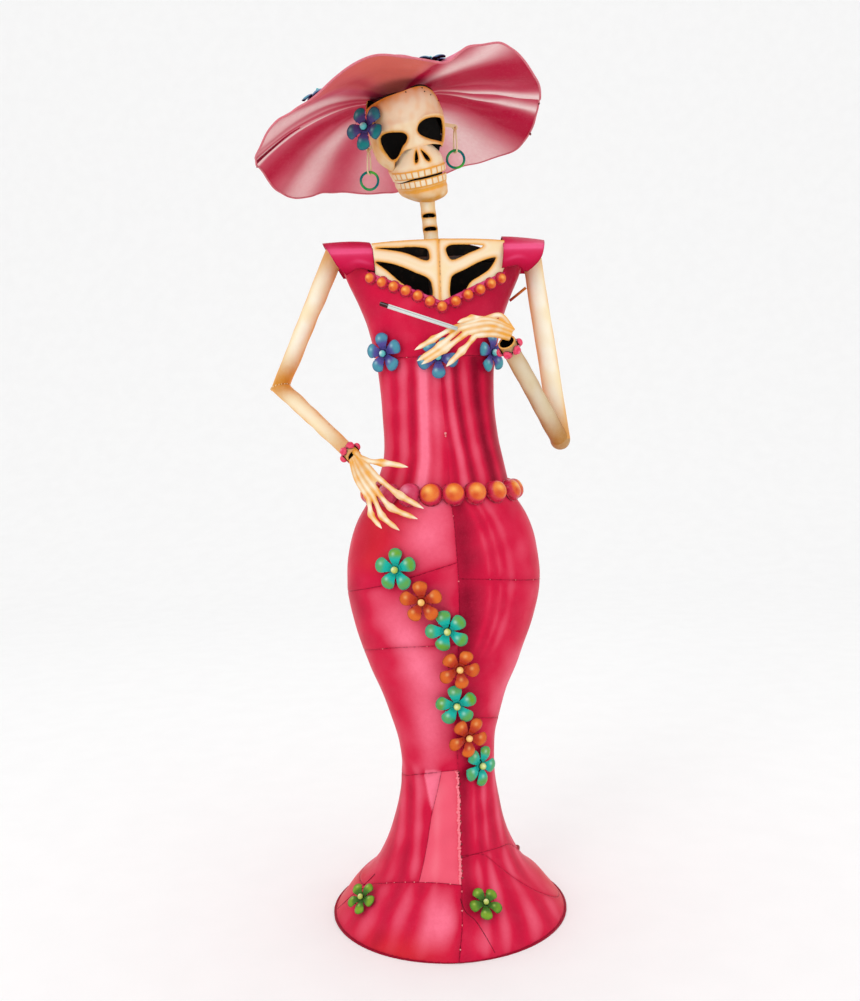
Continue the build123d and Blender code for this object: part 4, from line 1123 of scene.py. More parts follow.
def build_hat():
    """The brim's two skins, its rim, and the crown."""
    a = np.radians(np.linspace(180.4, 539.8, 620))[:, None]
    radius = np.concatenate(
        [[6, 14, 22, 30, 38], CROWN_R - 2.5 + (BRIM_R - CROWN_R + 2.3) * spread(52, 0.02)]
    )[None, :]
    P = brim(a, radius)
    deg = (np.degrees(a) + 180) % 360 - 180 + 0 * radius
    s = np.clip((radius - CROWN_R) / (BRIM_R - CROWN_R), 0, 1) + 0 * a
    meander = 1.2 * wobble(P, 90, 3) * s
    fade = step(s, 0.0, 0.35)
    flap = (1 - step(np.abs(deg + 8), 20, 32))
    pale = fold_sum(deg, PALE, s, meander) * (1 - flap)
    deep = fold_sum(deg, DEEP, s, meander) * (1 - 0.9 * flap)
    fold = np.sin(np.radians(deg) * 23 + 2 * wobble(P, 120, 8)) * 0.25 * (1 - flap)
    rise = (np.clip(deep, 0, 1) - np.clip(pale, 0, 1) + fold) * 2.1 * fade * np.minimum(1, 0.35 + s)
    rise = rise + 0.8 * wobble(P, 70, 9) * fade + flap * 2.0 * fade * np.sin(s * math.pi)
    lip = bump(deg, 19, 4.5) * s
    rise = (rise - 3.0 * lip) * (1 - 0.8 * bump(deg, -89, 11))
    P = P + np.stack([0 * rise, 0 * rise, rise], -1)
    d = np.minimum(BRIM_R - radius, 400) + 0 * a
    rim = np.exp(-((d / 0.7) ** 2)) * 0.5
    # gloom: painted shade on the brim's underside next to the crown
    gloom = bump(s, 0, 0.22) * (0.6 - 0.3 * pale) * (1 - flap)
    light = np.clip(pale, 0, 1) * (0.35 + 0.65 * fade) + flap * 0.5 * bump(deg, 11, 7) * bump(s, 0.55, 0.35)
    dark = (
        np.clip(deep * (1 - 0.25 * s) * (1 - np.clip(pale, 0, 1)), 0, 1) + gloom
        + 0.55 * bump(deg, -27, 6) * bump(s, 0.3, 0.25)
    )
    # a dark line just beside the flap's rolled edge: painted shadow of that fold
    dark = dark + 0.75 * bump(deg, 21.5, 2.2) * fade
    under = masks(P.shape[:2], light, dark, rim, flap * (0.95 - 0.35 * bump(deg, -24, 9)))
    add(
        "hat_brim_under",
        sheet(P, BRIM_SHEET, under, side=-facing(P, Z_AXIS)), "hat",
        cad=["hat_brim"], inner="hat",
    )
    Q = P + np.array([0, 0, BRIM_GAP])
    crest = fold_sum(deg, DEEP, s, meander) * fade
    # the top skin is also darker next to the crown: painted shade
    top = masks(
        P.shape[:2],
        np.clip(0.9 * crest + 0.25 * flap, 0, 1),
        np.clip(0.8 * pale + 0.8 * bump(s, 0, 0.16), 0, 1), rim, 0.3 * flap,
    )
    skin = sheet(Q, BRIM_SHEET, top, side=facing(Q, Z_AXIS))
    add("hat_brim_top", skin, "hat_top", inner="hat_top")
    edge = P[:, -1] + np.array([0, 0, 0.5])
    add(
        "hat_edge_wire",
        tube(edge, 1.15, sides=10, fx=np.tile([0.2, 0.1, 0.2, 0.1], (len(edge), 1))), "hat",
    )
    tabs = [
        blob(brim(np.radians(t), BRIM_R)[()] + np.array([0, 0, 0.4]), 1.3, (1.0, 1.2, 1.4), seed=k + 1)
        for k, t in enumerate((-89, 93, 108))
    ]
    add("hat_edge_tacks", join(tabs), "weld_dark")

    # crown
    k = np.linspace(0.001, math.pi / 2, 44)
    lean = Matrix.Rotation(HAT_LEAN, 4, "Y").to_3x3()
    z_dir = lean @ Vector((0, 0, 1))

    def crown_paint(P):
        turn = np.arctan2(P[..., 1], P[..., 0])
        h = P[..., 2] / CROWN_H
        stripes = np.clip(np.sin(turn * 9 + 0.6 * wobble(P, 40, 3)) * (1 - h) * 0.8, -1, 1)
        # lighter near the top and darker at the foot by the brim: painted light and painted shade
        return masks(
            P.shape[:2],
            np.clip(stripes, 0, 1) + 0.5 * bump(h, 0.95, 0.2),
            np.clip(-stripes, 0, 1) + 0.5 * bump(h, 0, 0.12), bump(h, 0, 0.02),
        )

    rows = [(CROWN_R * math.sin(q) ** 0.92, CROWN_H * math.cos(q) ** 0.96 - 0.01 * q) for q in k]
    crown = moved(
        lathe(rows, 120, t=SHEET, paint=crown_paint, dent=0.006, seed=5), np.array(HAT_AT) + CROWN_LIFT,
        z_dir,
    )
    add("hat_crown_dome", crown, "hat_top", cad=["hat_crown"])
    ring = np.radians(np.linspace(0, 354, 60))
    at = np.stack([(CROWN_R + 0.6) * np.cos(ring), (CROWN_R + 0.6) * np.sin(ring), 0 * ring + 1.0], -1)
    at = place(at, np.array(HAT_AT) + CROWN_LIFT, z_dir)
    add("hat_crown_welds", beads(at, 13, 1.5, 50), "weld")


# ------------------------------------------------------------------ bodice details
RIB_WINDOWS = [
    [
        (-60, 765), (-33, 764), (-25, 764.5), (-7, 762.8), (-3, 759.5), (-1.5, 752), (-3, 748.3),
        (-8.5, 748.6), (-21, 754.5), (-33, 759), (-49, 762.5),
    ],
    [
        (17, 761), (22, 765), (32, 765.6), (58, 764.2), (55, 761), (42.6, 755.7), (28.2, 748.8),
        (22.6, 748), (18.8, 752.5),
    ],
    [
        (-61, 748.8), (-49, 747.4), (-33.6, 742.3), (-18, 734.8), (-5.6, 729), (-0.6, 722.5), (0.0, 707),
        (-8, 708), (-19, 714), (-34, 724.5), (-49.5, 739),
    ],
    [
        (72, 750), (67, 750), (53, 745), (37.5, 737), (25, 731.2), (21.4, 726.6), (20.4, 707), (28, 708),
        (36, 713), (43, 722.8), (52.7, 729), (64, 737),
    ],
]
SLEEVE_Y, SLEEVE_H, SLEEVE_Z = 44.0, 45.0, 735.0
STERNUM_X = 9.5


def rib_plate(x, z, d=None):
    """The rib plate's surface at a place seen from the front."""
    low, high = np.full(x.shape, -math.pi / 2), np.full(x.shape, math.pi / 2)
    for _ in range(30):
        mid = (low + high) / 2
        less = dress(z, mid)[..., 0] < x
        low, high = np.where(less, mid, low), np.where(less, high, mid)
    y = dress(z, low)[..., 1] + 2.0
    y = y - 1.6 * bump(x, STERNUM_X, 9) + 1.3 * bump(x, STERNUM_X, 1.0)
    if d is not None:
        y = y - 1.5 * (1 - np.exp(-d / 2.5)) + 0.6
    return np.stack([x, y, z], -1)


def build_ribs():
    """The rib plate with its four openings."""
    x = np.linspace(0, 1, 300)[:, None]
    v = np.linspace(0, 1, 110)[None, :]
    x = -69.5 + (82.5 + 69.5) * x
    low = neckline(x) - 7
    high = 772.5 - 0.00035 * (x - 5) ** 2
    U, W = x + 0 * v, low + (high - low) * v
    # the sides follow the sleeves' inner edges
    U = np.where(U < -40, -40 + (U + 40) * (-40 - track(SLEEVES["right"][0])(W) - 0.4) / 29.5, U)

    def paint(P, U, W, d):
        edge = np.minimum(np.minimum(d, np.abs(high - W)), 50)
        ochre = 0.95 * np.exp(-edge / 1.9) + 0.75 * bump(U, 8.3, 2.2) + 0.25 * np.exp(-edge / 5)
        line = 0.8 * bump(U, STERNUM_X, 0.5) * (W > 712) * (0.5 + 0.5 * wobble(P, 9, 7))
        return masks(
            U.shape, 0.5 * np.exp(-((d - 5) / 3) ** 2), np.clip(ochre, 0, 1),
            line + 0.5 * np.exp(-(edge / 0.5) ** 2), 0.6 * np.exp(-edge / 0.8),
        )

    holes = [loop(w, 120) for w in RIB_WINDOWS]
    side = -facing(rib_plate(U, W), Y_AXIS)
    add(
        "rib_plate",
        pierced(rib_plate, U, W, holes, SHEET, paint, side), "bone",
        cad=["rib_plate_right", "rib_plate_left"],
    )


# Sleeve outlines: x of the inner and of the outer edge against height, and the hem's height across it
SLEEVES = {
    "right": (
        [
            (733, -62.2), (738.4, -62.5), (749.4, -63.3), (755.3, -63.8), (766, -65.0), (774.6, -68.1),
            (780, -72.5),
        ],
        [(732, -91), (734.4, -93.4), (743.9, -102.9), (765.4, -115.2), (773.5, -120.5), (780, -124)],
        [(0, 738.4), (0.2, 740.4), (0.45, 742.0), (0.7, 738.5), (1, 734.6)],
    ),
    "left": (
        [(732, 77.5), (737.4, 77.8), (754.5, 80.3), (774.2, 81.3), (780, 81.5)],
        [(730, 104), (732.4, 106.1), (738, 113), (744.5, 119.5), (753, 124.2), (767.8, 128), (780, 129.5)],
        [(0, 737.4), (0.25, 738.9), (0.42, 739.9), (0.6, 737.5), (0.8, 734.2), (1, 732.6)],
    ),
}


def build_sleeves():
    """Two folded sleeve caps, each a sheet bent over the shoulder."""
    for name, (inner_edge, outer_edge, hem) in SLEEVES.items():
        side = -1 if name == "right" else 1
        u = spread(60, 0.03)[:, None]
        t = np.concatenate([np.linspace(0, 0.06, 7)[:-1], np.linspace(0.06, 1, 110)])[None, :]
        start = np.arcsin(np.clip((track(hem)(u) - SLEEVE_Z) / SLEEVE_H, -1, 1))
        phi = start + (math.radians(166) - start) * t
        slope = 0.04 * u**2 + 0.05 * (1 - u) ** 4 if side < 0 else 0.122 * u**1.5
        Z = SLEEVE_Z + SLEEVE_H * np.sin(phi) * (1 - slope * (phi > 0))
        X_in, X_out = track(inner_edge)(Z), track(outer_edge)(Z)
        X = X_in + (X_out - X_in) * u
        pleat = np.exp(-(((Z - 736) / 11) ** 2)) * (np.cos(phi) > 0)
        roll = pleat * (1.6 * bump(u, 0.42, 0.16) - 1.0 * bump(u, 0.78, 0.12))
        crest = 1.3 * bump(Z, 765, 5) * (np.cos(phi) > 0)
        Y = -(SLEEVE_Y + roll + crest) * np.cos(phi)
        P = np.stack([X, Y, Z], -1)
        front = np.cos(phi) > 0
        # band is a painted highlight along the crest over the shoulder; shade is painted shade along the hem's
        # fold and over the back half
        band = (
            1.3 * bump(Z, 762.5, 3.2) + 0.3 * bump(Z, 762, 9) + 0.25 * bump(Z, 768, 6) * bump(u, 0.85, 0.25)
        )
        band = band + 0.45 * bump(Z, 745 + 5 * bump(u, 0.4, 0.3), 2.2) * bump(u, 0.3, 0.25)
        shade = 0.8 * np.exp(-(((Z - 735) / 11) ** 2)) + 0.3 * bump(Z, 774, 5) + 0.6 * (~front)
        edge_in, edge_out = np.abs(X - X_in), np.abs(X_out - X)
        d = np.minimum(np.minimum(edge_in, edge_out), (t * 0 + np.abs(phi - start) * 45))
        fx = masks(X.shape, band * front, shade + 0.25 * np.exp(-d / 3), np.exp(-((d / 0.7) ** 2)) * 0.6)
        add(
            f"sleeve_{name}", sheet(P, SHEET, fx, side=facing(P, Z_AXIS)), "sleeve",
            cad=[f"sleeve_cap_{name}"], inner="sleeve",
        )


NECK_SLOT = [
    (-10.5, -0.2), (-6, 1.9), (0, 2.5), (6, 2.6), (10.5, 1.0), (6.5, -1.6), (0, -2.3), (-6, -2.0),
]


def build_neck():
    """The neck tube with its two slots."""
    foot, top, R = np.array([2.0, -6.0, 771.0]), np.array([-5.5, -2.0, 868.0]), 8.5
    length = top[2] - foot[2]
    axis = top - foot
    holes = [loop([(u, z - foot[2] + rise) for u, rise in NECK_SLOT], 60) for z in (789, 804)]

    def surface(u, w, d=None):
        a = u / R
        c = foot + axis * (w / length)[..., None]
        r = R + 0.25 * np.sin(w * 0.4)
        return c + np.stack([r * np.sin(a), -r * np.cos(a), 0 * a], -1)

    u = np.linspace(-math.pi * R + 0.05, math.pi * R - 0.05, 110)[:, None]
    w = np.linspace(0, length, 160)[None, :]
    U, W = u + 0 * w, w + 0 * u

    def paint(P, U, W, d):
        side = 0.95 * (1 - np.abs(np.cos(U / R))) ** 0.9
        ring = np.exp(-d / 1.6)
        low = 0.7 * bump(W, 0, 4) + 0.5 * step(W, 46, 60)
        return masks(
            U.shape, 0.5 * bump(U, -1, 3), np.clip(side * 0.8 + ring + low, 0, 1),
            0.5 * np.exp(-(d / 0.5) ** 2), 0.4 * ring + 0.5 * step(W, 50, 70),
        )

    add("neck", pierced(surface, U, W, holes, SHEET, paint), "bone", cad=["neck_tube"])
    ring = np.radians(np.linspace(0, 340, 18))
    at = np.stack([foot[0] + 9.2 * np.sin(ring), foot[1] - 9.2 * np.cos(ring), 0 * ring + 771.2], -1)
    add("neck_welds", beads(at, 5, 1.3, 61), "link")


# ------------------------------------------------------------------ arms and hands
ARM_RIGHT = [(-112, 0, 762), (-188, 70, 621), (-92, -50, 535)]
ARM_LEFT = [(117, 0, 747), (143, -5, 546), (75, -120, 648)]


def arm_paint(P, N, along, browns):
    """Cream along the front, ochre along both edges, brown towards the given ends."""
    facing = np.clip(-N[..., 1], -1, 1)
    soft = 0.10 * wobble(P, 30, 21)
    ochre = np.clip(1.05 - facing * 1.25 + soft, 0, 1) ** 1.5 * (1 - 0.55 * step(N[..., 1], 0.05, 0.75))
    brown = 0.4 * np.exp(-((N[..., 1] / 0.24) ** 2))
    for at, width, amount in browns:
        brown = brown + amount * np.exp(-(((along - at) / width) ** 2))
    light = 0.9 * np.clip(facing + soft, 0, 1) ** 3 * (1 - np.clip(brown, 0, 1))
    return masks(P.shape[:2], light, np.clip(ochre * 0.85 + 0.5 * brown, 0, 1), 0 * along, brown)


def square_axes(axis):
    """Two unit vectors square to an axis, the first one level."""
    x = unit(np.cross([0, 0, 1.0], axis))
    return x, np.cross(axis, x)


def ring_path(centre, x, y, radius, angles):
    """Points of a circle in the plane of x and y."""
    return np.array([centre + (x * math.cos(a) + y * math.sin(a)) * radius for a in angles])


def pipe(p0, p1, r0, r1, browns, end0=None, end1=None, t=SHEET, n=90, sides=64):
    """A rolled tube between two points. end0 and end1 are planes (point, normal) that cut its ends."""
    p0, p1 = np.asarray(p0, float), np.asarray(p1, float)
    axis = unit(p1 - p0)
    x, y = square_axes(axis)
    a = np.arange(sides)[:, None] / sides * 2 * math.pi
    spoke = np.cos(a) * x + np.sin(a) * y
    rings = []
    for p, r, cut in ((p0, r0, end0), (p1, r1, end1)):
        ring = p + spoke * r
        if cut is not None:
            q, m = (np.asarray(c, float) for c in cut)
            ring = ring + axis * (((q - ring) @ m) / (axis @ m))[:, None]
        rings.append(ring)
    s = spread(n, 0.02)[None, :, None]
    P = rings[0][:, None] * (1 - s) + rings[1][:, None] * s
    P = P + spoke[:, None] * (0.22 * wobble(P, 40, int(r0 * 10)))[..., None]
    N = spoke[:, None] + 0 * P
    along = s[..., 0] + 0 * P[..., 0]
    fx = arm_paint(P, N, along, browns)
    seam = np.abs(a - math.pi / 2) < 0.06
    fx[..., 2] = np.maximum(fx[..., 2], 0.5 * seam)
    du = normals(P, True)
    side = 1 if (du[0, 3] @ spoke[0]) > 0 else -1
    return sheet(P, t, fx, wrap=True, side=side)


def build_arms():
    """Both arms, the elbow's welds and cap, the rolled wrist and the stay rod."""
    sh, el, wr = (np.array(p, float) for p in ARM_RIGHT)
    down, fore = unit(el - sh), unit(wr - el)
    m = unit(down + fore)
    add(
        "arm_upper_right",
        pipe(sh - down * 9, el, 11.2, 10.0, [(1.0, 0.16, 1.0), (0.0, 0.14, 0.7)], end1=(el - m * 0.2, m)),
        "bone", cad=["upper_arm_right"],
    )
    add(
        "arm_fore_right",
        pipe(el, wr, 10.0, 8.0, [(0.0, 0.15, 0.9), (1.0, 0.22, 0.65)], end0=(el + m * 0.2, m)), "bone",
        cad=["forearm_right"],
    )
    at = ring_path(el, *square_axes(down), 10.1, np.radians(np.linspace(0, 350, 40)))
    at = at + down * (((el - at) @ m) / (down @ m))[:, None]
    add("elbow_welds", beads(at, 3.2, 0.95, 71), "link")

    sh, el, wr = (np.array(p, float) for p in ARM_LEFT)
    down, fore = unit(el - sh), unit(wr - el)
    upper = pipe(sh - down * 10, el, 10.5, 11.5, [(1.0, 0.16, 0.8), (0.0, 0.08, 0.4)])
    add("arm_upper_left", upper, "bone", cad=["upper_arm_left"])
    s = np.linspace(0.001, math.pi / 2, 20)
    cap = lathe(
        [(11.5 * math.sin(k), 11.5 * math.cos(k)) for k in s], 48, t=SHEET,
        paint=lambda P: masks(P.shape[:2], 0.1, 0.5, 0, 0.55),
    )
    # the left elbow cap and forearm take the darker bone paint: painted shade of the left arm
    add("elbow_cap", moved(cap, el - down * 0.3, down), "tan")
    add(
        "arm_fore_left",
        pipe(el, wr, 10.5, 9.0, [(0.0, 0.22, 0.9), (1.0, 0.12, 0.5)]), "tan",
        cad=["forearm_left"],
    )
    ring = ring_path(wr, *square_axes(fore), 8.5, np.linspace(0, 2 * math.pi, 60))
    lip = tube(ring, 0.85, 10, fx=np.tile([0.0, 0.8, 0.2, 0.3], (60, 1)))
    add("wrist_lip", lip, "bone")
    add(
        "stay_rod",
        tube(
            spline([(90, 6.5, 708.5), (99, 4, 715), (108.4, 1, 722)], 20), 1.6, 14,
            fx=[(k / 19, 0.3 * (1 - k / 19), 0, 0) for k in range(20)],
        ),
        "stay", cad=["arm_stay"],
    )


def finger_rows(points, width, seed, n=34):
    """A finger's centre line and radii: thick at the root, a wide knuckle, a pointed tip."""
    P = spline(points, n)
    s = np.linspace(0, 1, n)
    r = np.random.default_rng(seed)
    knuckle = r.uniform(0.44, 0.52)
    R = width * (0.95 - 0.12 * s + 0.42 * bump(s, knuckle, 0.085) - 0.15 * bump(s, 0.25, 0.1))
    R = R * (1 - 0.93 * step(s, 0.78, 1.04) ** 1.4)
    return P, np.maximum(R, 0.3)


def build_hand(name, wrist, fingers, palm, cad, squash, width):
    """One cast-looking hand: metacarpal ridges, a thin web between them, and knuckled fingers."""
    shapes, lines = [], []
    for k, chain in enumerate(fingers):
        root = np.asarray(chain[0], float)
        start = np.asarray(wrist[k], float)
        middle = (start + root) / 2 + np.asarray(palm[k], float)
        P, R = finger_rows(chain, width[k], 200 + k)
        back = spline([start, middle, root], 20)
        shapes.append(
            tube(
                np.concatenate([back[:-1], P]),
                np.concatenate([np.linspace(3.0, width[k] * 0.95, 19), R]), 20, squash,
            )
        )
        lines.append(spline(np.concatenate([back[:-1], P]), 160))
    # web: strips of metal between neighbouring metacarpals
    for k in range(1, len(fingers) - 1):
        a, b = lines[k][:70:4], lines[k + 1][:70:4]
        for f in (0.0, 0.25, 0.5, 0.75, 1.0):
            shapes.append(tube(a * (1 - f) + b * f, 1.7, 10, squash))
    thumb, first = lines[0][:36:3], lines[1][:36:3]
    for f in (0.15, 0.3, 0.5, 0.7, 0.85):
        shapes.append(tube(thumb * (1 - f) + first * f, 1.9, 10, squash))
    V, F, X, I = join(shapes)
    me = bpy.data.meshes.new(name + "_rough")
    me.from_pydata((V * MM).tolist(), [], F)
    ob = bpy.data.objects.new(name + "_rough", me)
    COL.objects.link(ob)
    remesh = ob.modifiers.new("skin", "REMESH")
    remesh.mode = "VOXEL"
    remesh.voxel_size = 0.00055
    smooth = ob.modifiers.new("smooth", "SMOOTH")
    smooth.iterations = 4
    smooth.factor = 0.5
    done = bpy.data.meshes.new_from_object(ob.evaluated_get(bpy.context.evaluated_depsgraph_get()))
    bpy.data.objects.remove(ob)
    V = np.array([v.co for v in done.vertices]) / MM
    F = [tuple(p.vertices) for p in done.polygons]
    bpy.data.meshes.remove(done)
    line_points = np.concatenate(lines)
    near = np.full(len(V), 1e9)
    tip = np.zeros(len(V))
    share = np.concatenate([np.linspace(0, 1, len(l)) for l in lines])
    for q, t in zip(line_points, share):
        dist = np.linalg.norm((V - q) * np.array([1, 0.45, 1]), axis=1)
        closer = dist < near
        near, tip = np.where(closer, dist, near), np.where(closer, t, tip)
    ridge = bump(near, 0, 1.9)
    soft = 0.15 * wobble(V, 12, 33)
    knuckles = bump(tip, 0.70, 0.06) + 0.8 * bump(tip, 0.38, 0.06)
    ochre = (
        np.clip(0.84 * (1 - ridge) + soft, 0, 1) * (1 - 0.5 * knuckles) + 0.25 * bump(tip, 0.55, 0.06)
        + 0.35 * bump(tip, 0.02, 0.10)
    )
    X = masks(
        near.shape,
        np.clip(0.85 * ridge + 0.4 * knuckles, 0, 1), ochre, 0,
        0.5 * np.clip(1 - ridge, 0, 1) * bump(tip, 0.1, 0.25),
    )
    add(name, (V, F, X, np.zeros(len(F), int)), "bone", cad=cad, sharp=60)


RIGHT_FINGERS = [
    [(-84, -62, 533), (-70, -72, 528.5), (-52, -77, 526), (-31.5, -80, 521.5)],
    [(-66, -77, 512), (-54, -79, 501.5), (-43, -81, 492.5), (-16, -80, 476)],
    [(-68.5, -78, 500), (-60, -80, 488), (-51, -81, 478), (-23, -80, 465)],
    [(-71, -78, 492), (-66.5, -80, 481), (-61, -82, 469), (-43, -84, 453.5)],
    [(-76, -77, 489), (-74.5, -80, 480), (-73, -82, 471), (-62, -84, 456)],
]
LEFT_FINGERS = [
    [(52, -124, 672), (42, -130, 673), (34, -133, 671), (24, -135, 668)],
    [(20.5, -129, 663.5), (12, -129, 659.5), (3.5, -128, 655), (-20.5, -125, 642.5)],
    [(26, -130, 662.5), (15, -129, 653), (4.5, -128, 644.5), (-18.5, -125, 631)],
    [(34, -130, 658.5), (22, -129, 650), (10, -128, 642), (-14, -125, 627.5)],
    [(42.5, -128, 655.5), (37, -128, 649), (31.5, -128, 643), (11.5, -125, 624.5)],
]


def build_hands():
    """Wrist and palm are listed from the thumb to the little finger."""
    wrist = [(-92, -51, 540), (-90, -54, 538), (-91, -54, 535), (-93, -54, 533), (-95, -53, 531)]
    palm = [(0, -2, 1), (0, -3, 1), (-1, -3, 0), (-2, -3, -1), (-3, -2, -1)]
    build_hand(
        "right_hand", wrist, RIGHT_FINGERS, palm, ["hand_right"], ((0.35, 0.9, 0.25), 0.75),
        [3.6, 3.7, 3.6, 3.5, 3.2],
    )
    wrist = [(82, -116, 660), (80, -121, 663), (81, -122, 660), (80, -122, 656), (78, -121, 652)]
    palm = [(2, -4, 9), (3, -4, 8), (3, -4, 6), (2, -4, 4), (1, -3, 2)]
    build_hand(
        "left_hand", wrist, LEFT_FINGERS, palm, ["hand_left"], ((0.1, 0.95, 0.3), 0.75),
        [3.0, 3.0, 3.5, 3.5, 3.3],
    )


def build_cigarette():
    """A thin rod with a dark tip, and the dark line of its rolled seam."""
    a, b = np.array([-54, -136, 689.5]), np.array([24, -136, 661.5])
    s = np.array([0, 0.004, 0.02, 0.105, 0.108, 0.112, 0.3, 0.6, 0.9, 1.0])
    P = a + (b - a) * s[:, None]
    R = np.array([1.4, 2.1, 2.35, 2.35, 2.45, 2.3, 2.3, 2.3, 2.2, 2.0])
    fx = [
        (0, 0, 1, 1), (0, 0, 1, 1), (0, 0, 0.3, 1), (0, 0, 0.2, 1), (0, 0.2, 0, 0.1), (0.3, 0.1, 0, 0),
        (0.3, 0, 0, 0), (0.3, 0.1, 0, 0), (0.2, 0.2, 0, 0), (0, 0.5, 0, 0),
    ]
    V, F, X, I = tube(P, R, 28, fx=fx)
    axis = unit(b - a)
    off = V - a - np.outer((V - a) @ axis, axis)
    X[:, 1] = np.maximum(X[:, 1], 0.85 * bump(off[:, 2] - 0.4, 0, 0.35) * (off[:, 1] < 0))
    add("cigarette_rod", (V, F, X, I), "paper", cad=["cigarette"])


def build_bracelets():
    """Six beads and a wire round each wrist."""
    for name, arm, radius in (("right", ARM_RIGHT, 8.4), ("left", ARM_LEFT, 9.4)):
        el, wr = np.array(arm[1], float), np.array(arm[2], float)
        axis = unit(wr - el)
        x = unit(np.array([0, -1.0, 0]) + axis * axis[1])
        y = np.cross(axis, x)
        c = wr - axis * 8
        shapes = []
        for k in range(6):
            a = math.radians(60 * k + 20)
            out = x * math.cos(a) + y * math.sin(a)
            shapes.append(
                moved(stamped_dome(*BEAD, 90 + k, 0.6), c + out * (radius + 0.9), out, x_dir=axis)
            )
        add(
            f"bracelet_beads_{name}", join(shapes), "bracelet", cad=[f"bracelet_{name}"],
            sharp=50,
        )
        ring = ring_path(c, x, y, radius + 0.2, np.linspace(0, 2 * math.pi, 50))
        add(f"bracelet_wire_{name}", tube(ring, 0.7, 8), "primer")


# ------------------------------------------------------------------ skull
HEAD_AT = np.array([-20.0, -12.0, 893.0])
TURN, LEAN, NOD = (
    Matrix.Rotation(math.radians(degrees), 3, axis) for degrees, axis in ((8, "Z"), (-13.5, "Y"), (18, "X"))
)
HEAD = np.array(TURN @ LEAN @ NOD)
LEFT_EYE = [
    (-35.3, 8.3), (-29.8, 9.8), (-20.2, 8.7), (-12.9, 6.2), (-10.3, 2.2), (-12.4, -2.6), (-17.2, -6.9),
    (-21.9, -14.1), (-25.7, -18), (-29.6, -18.4), (-34.1, -11.9), (-37.3, -3), (-37.5, 4.3),
]
RIGHT_EYE = [
    (2.4, 7.3), (5.9, 12.6), (12.5, 15.5), (21.1, 15.8), (31.5, 13.6), (37.4, 10.8), (39.9, 1.9),
    (39.6, -5.1), (38.6, -11.0), (35, -12.6), (24.2, -9), (15.2, -5.2), (7.5, -0.8), (3.2, 3.3),
]
NOSE = [
    [(-4.1, -14), (-4, -22), (-6.1, -26), (-7.8, -26.1), (-7.9, -22.9), (-6.5, -17.9)],
    [(1.6, -14.4), (7.6, -21), (9.7, -26), (8.8, -27.5), (6.3, -26.6), (3.9, -23.7), (2.3, -18.9)],
]
# half width to its right, half width to its left, depth, against height
FACE = [
    (-31, 31, 30, 40), (-21, 38.5, 33, 44), (-12, 42, 38.5, 46), (0, 43.5, 41.8, 47.5), (18, 43, 43, 50),
    (36, 40.5, 40.5, 47.5), (48, 35, 36, 41), (60, 25, 25, 29), (69, 8, 8, 9),
]
F_RIGHT, F_LEFT, F_DEPTH = (track(FACE, k) for k in (1, 2, 3))
MUZZLE = [
    (-46.5, 25.5, 31.5, 48.5), (-38, 28, 32, 50.5), (-30, 28.5, 31, 52), (-24, 25.5, 29.5, 52.3),
    (-15, 20, 23, 50.8), (-7, 13.5, 15, 47.8),
]
M_RIGHT, M_LEFT, M_DEPTH = (track(MUZZLE, k) for k in (1, 2, 3))
JAW = [
    (-74, 1.5, 3, 16), (-73, 6, 14, 28), (-71, 11, 22, 36), (-67.5, 15.5, 28, 41.5),
    (-62, 20.5, 30.8, 44.5), (-55, 24, 31.4, 47), (-44, 25, 31.4, 48),
]
J_RIGHT, J_LEFT, J_DEPTH = (track(JAW, k) for k in (1, 2, 3))
# mm along the sheet for each degree of turn, on the face plate and round the mouth
FACE_TURN, MOUTH_TURN = 0.75, 0.49
# a row of teeth: its middle height and half its own height; degrees from tooth to tooth
UPPER_TEETH, LOWER_TEETH = (-38.4, 3.9), (-48.9, 3.9)
TOOTH_PITCH = 14.0
FACE_TOP = track(
    [(-98, 36), (-70, 41), (-40, 45.5), (-13, 47.5), (12, 49.2), (33, 48.5), (47, 44), (70, 31), (98, 24)]
)


def in_head(P):
    """Points of the head's own frame, in the part's frame."""
    return P @ HEAD.T + HEAD_AT


def add_to_head(name, shape, cad=(), mat="bone"):
    """Adds a shape made in the head's own frame."""
    add(name, (in_head(shape[0]), *shape[1:]), mat, cad=cad)


def face_local(u, z, d=None):
    """Face plate: u is the turn from the front times FACE_TURN, z the height."""
    t = np.radians(u / FACE_TURN)
    w = np.where(t < 0, F_RIGHT(z), F_LEFT(z))
    x = w * np.sin(t)
    y = 5 - F_DEPTH(z) * np.cos(t)
    brow = (
        2.6 * bump(z, 17, 6) * (bump(x, -20, 15) * bump(z, 14, 9) + bump(x, 21, 15))
        + 2.0 * bump(x, -2, 6) * bump(z, -6, 14)
    )
    brow = (
        brow - 1.8 * bump(z, 28, 9) * (bump(x, -36, 9) + bump(x, 36, 9))
        + 1.5 * bump(x, -31, 9) * bump(z, -20, 6)
    )
    sink = 0 if d is None else 2.4 * np.exp(-d / 2.0) - 0.9 * bump(d, 3.2, 1.6)
    out = brow - sink
    return np.stack([x + out * np.sin(t) * 0.8, y - out * np.cos(t), z + 0 * x], -1)


def face_u(x, z):
    """The face plate's u at a place seen from the front."""
    w = np.where(x < 0, F_RIGHT(z), F_LEFT(z))
    return np.degrees(np.arcsin(np.clip(x / w, -0.97, 0.97))) * FACE_TURN


def mouth_shell(t, z, right, left, depth, out, shift=0.0):
    """A shell round the mouth, from its half widths and depth; out moves it outwards."""
    c = np.cos(t)
    x = np.where(t < 0, right(z), left(z)) * np.sin(t) + shift
    y = 6 - depth(z) * np.sign(c) * np.abs(c) ** 0.75
    return np.stack([x + out * np.sin(t), y - out * c, z + 0 * x], -1)


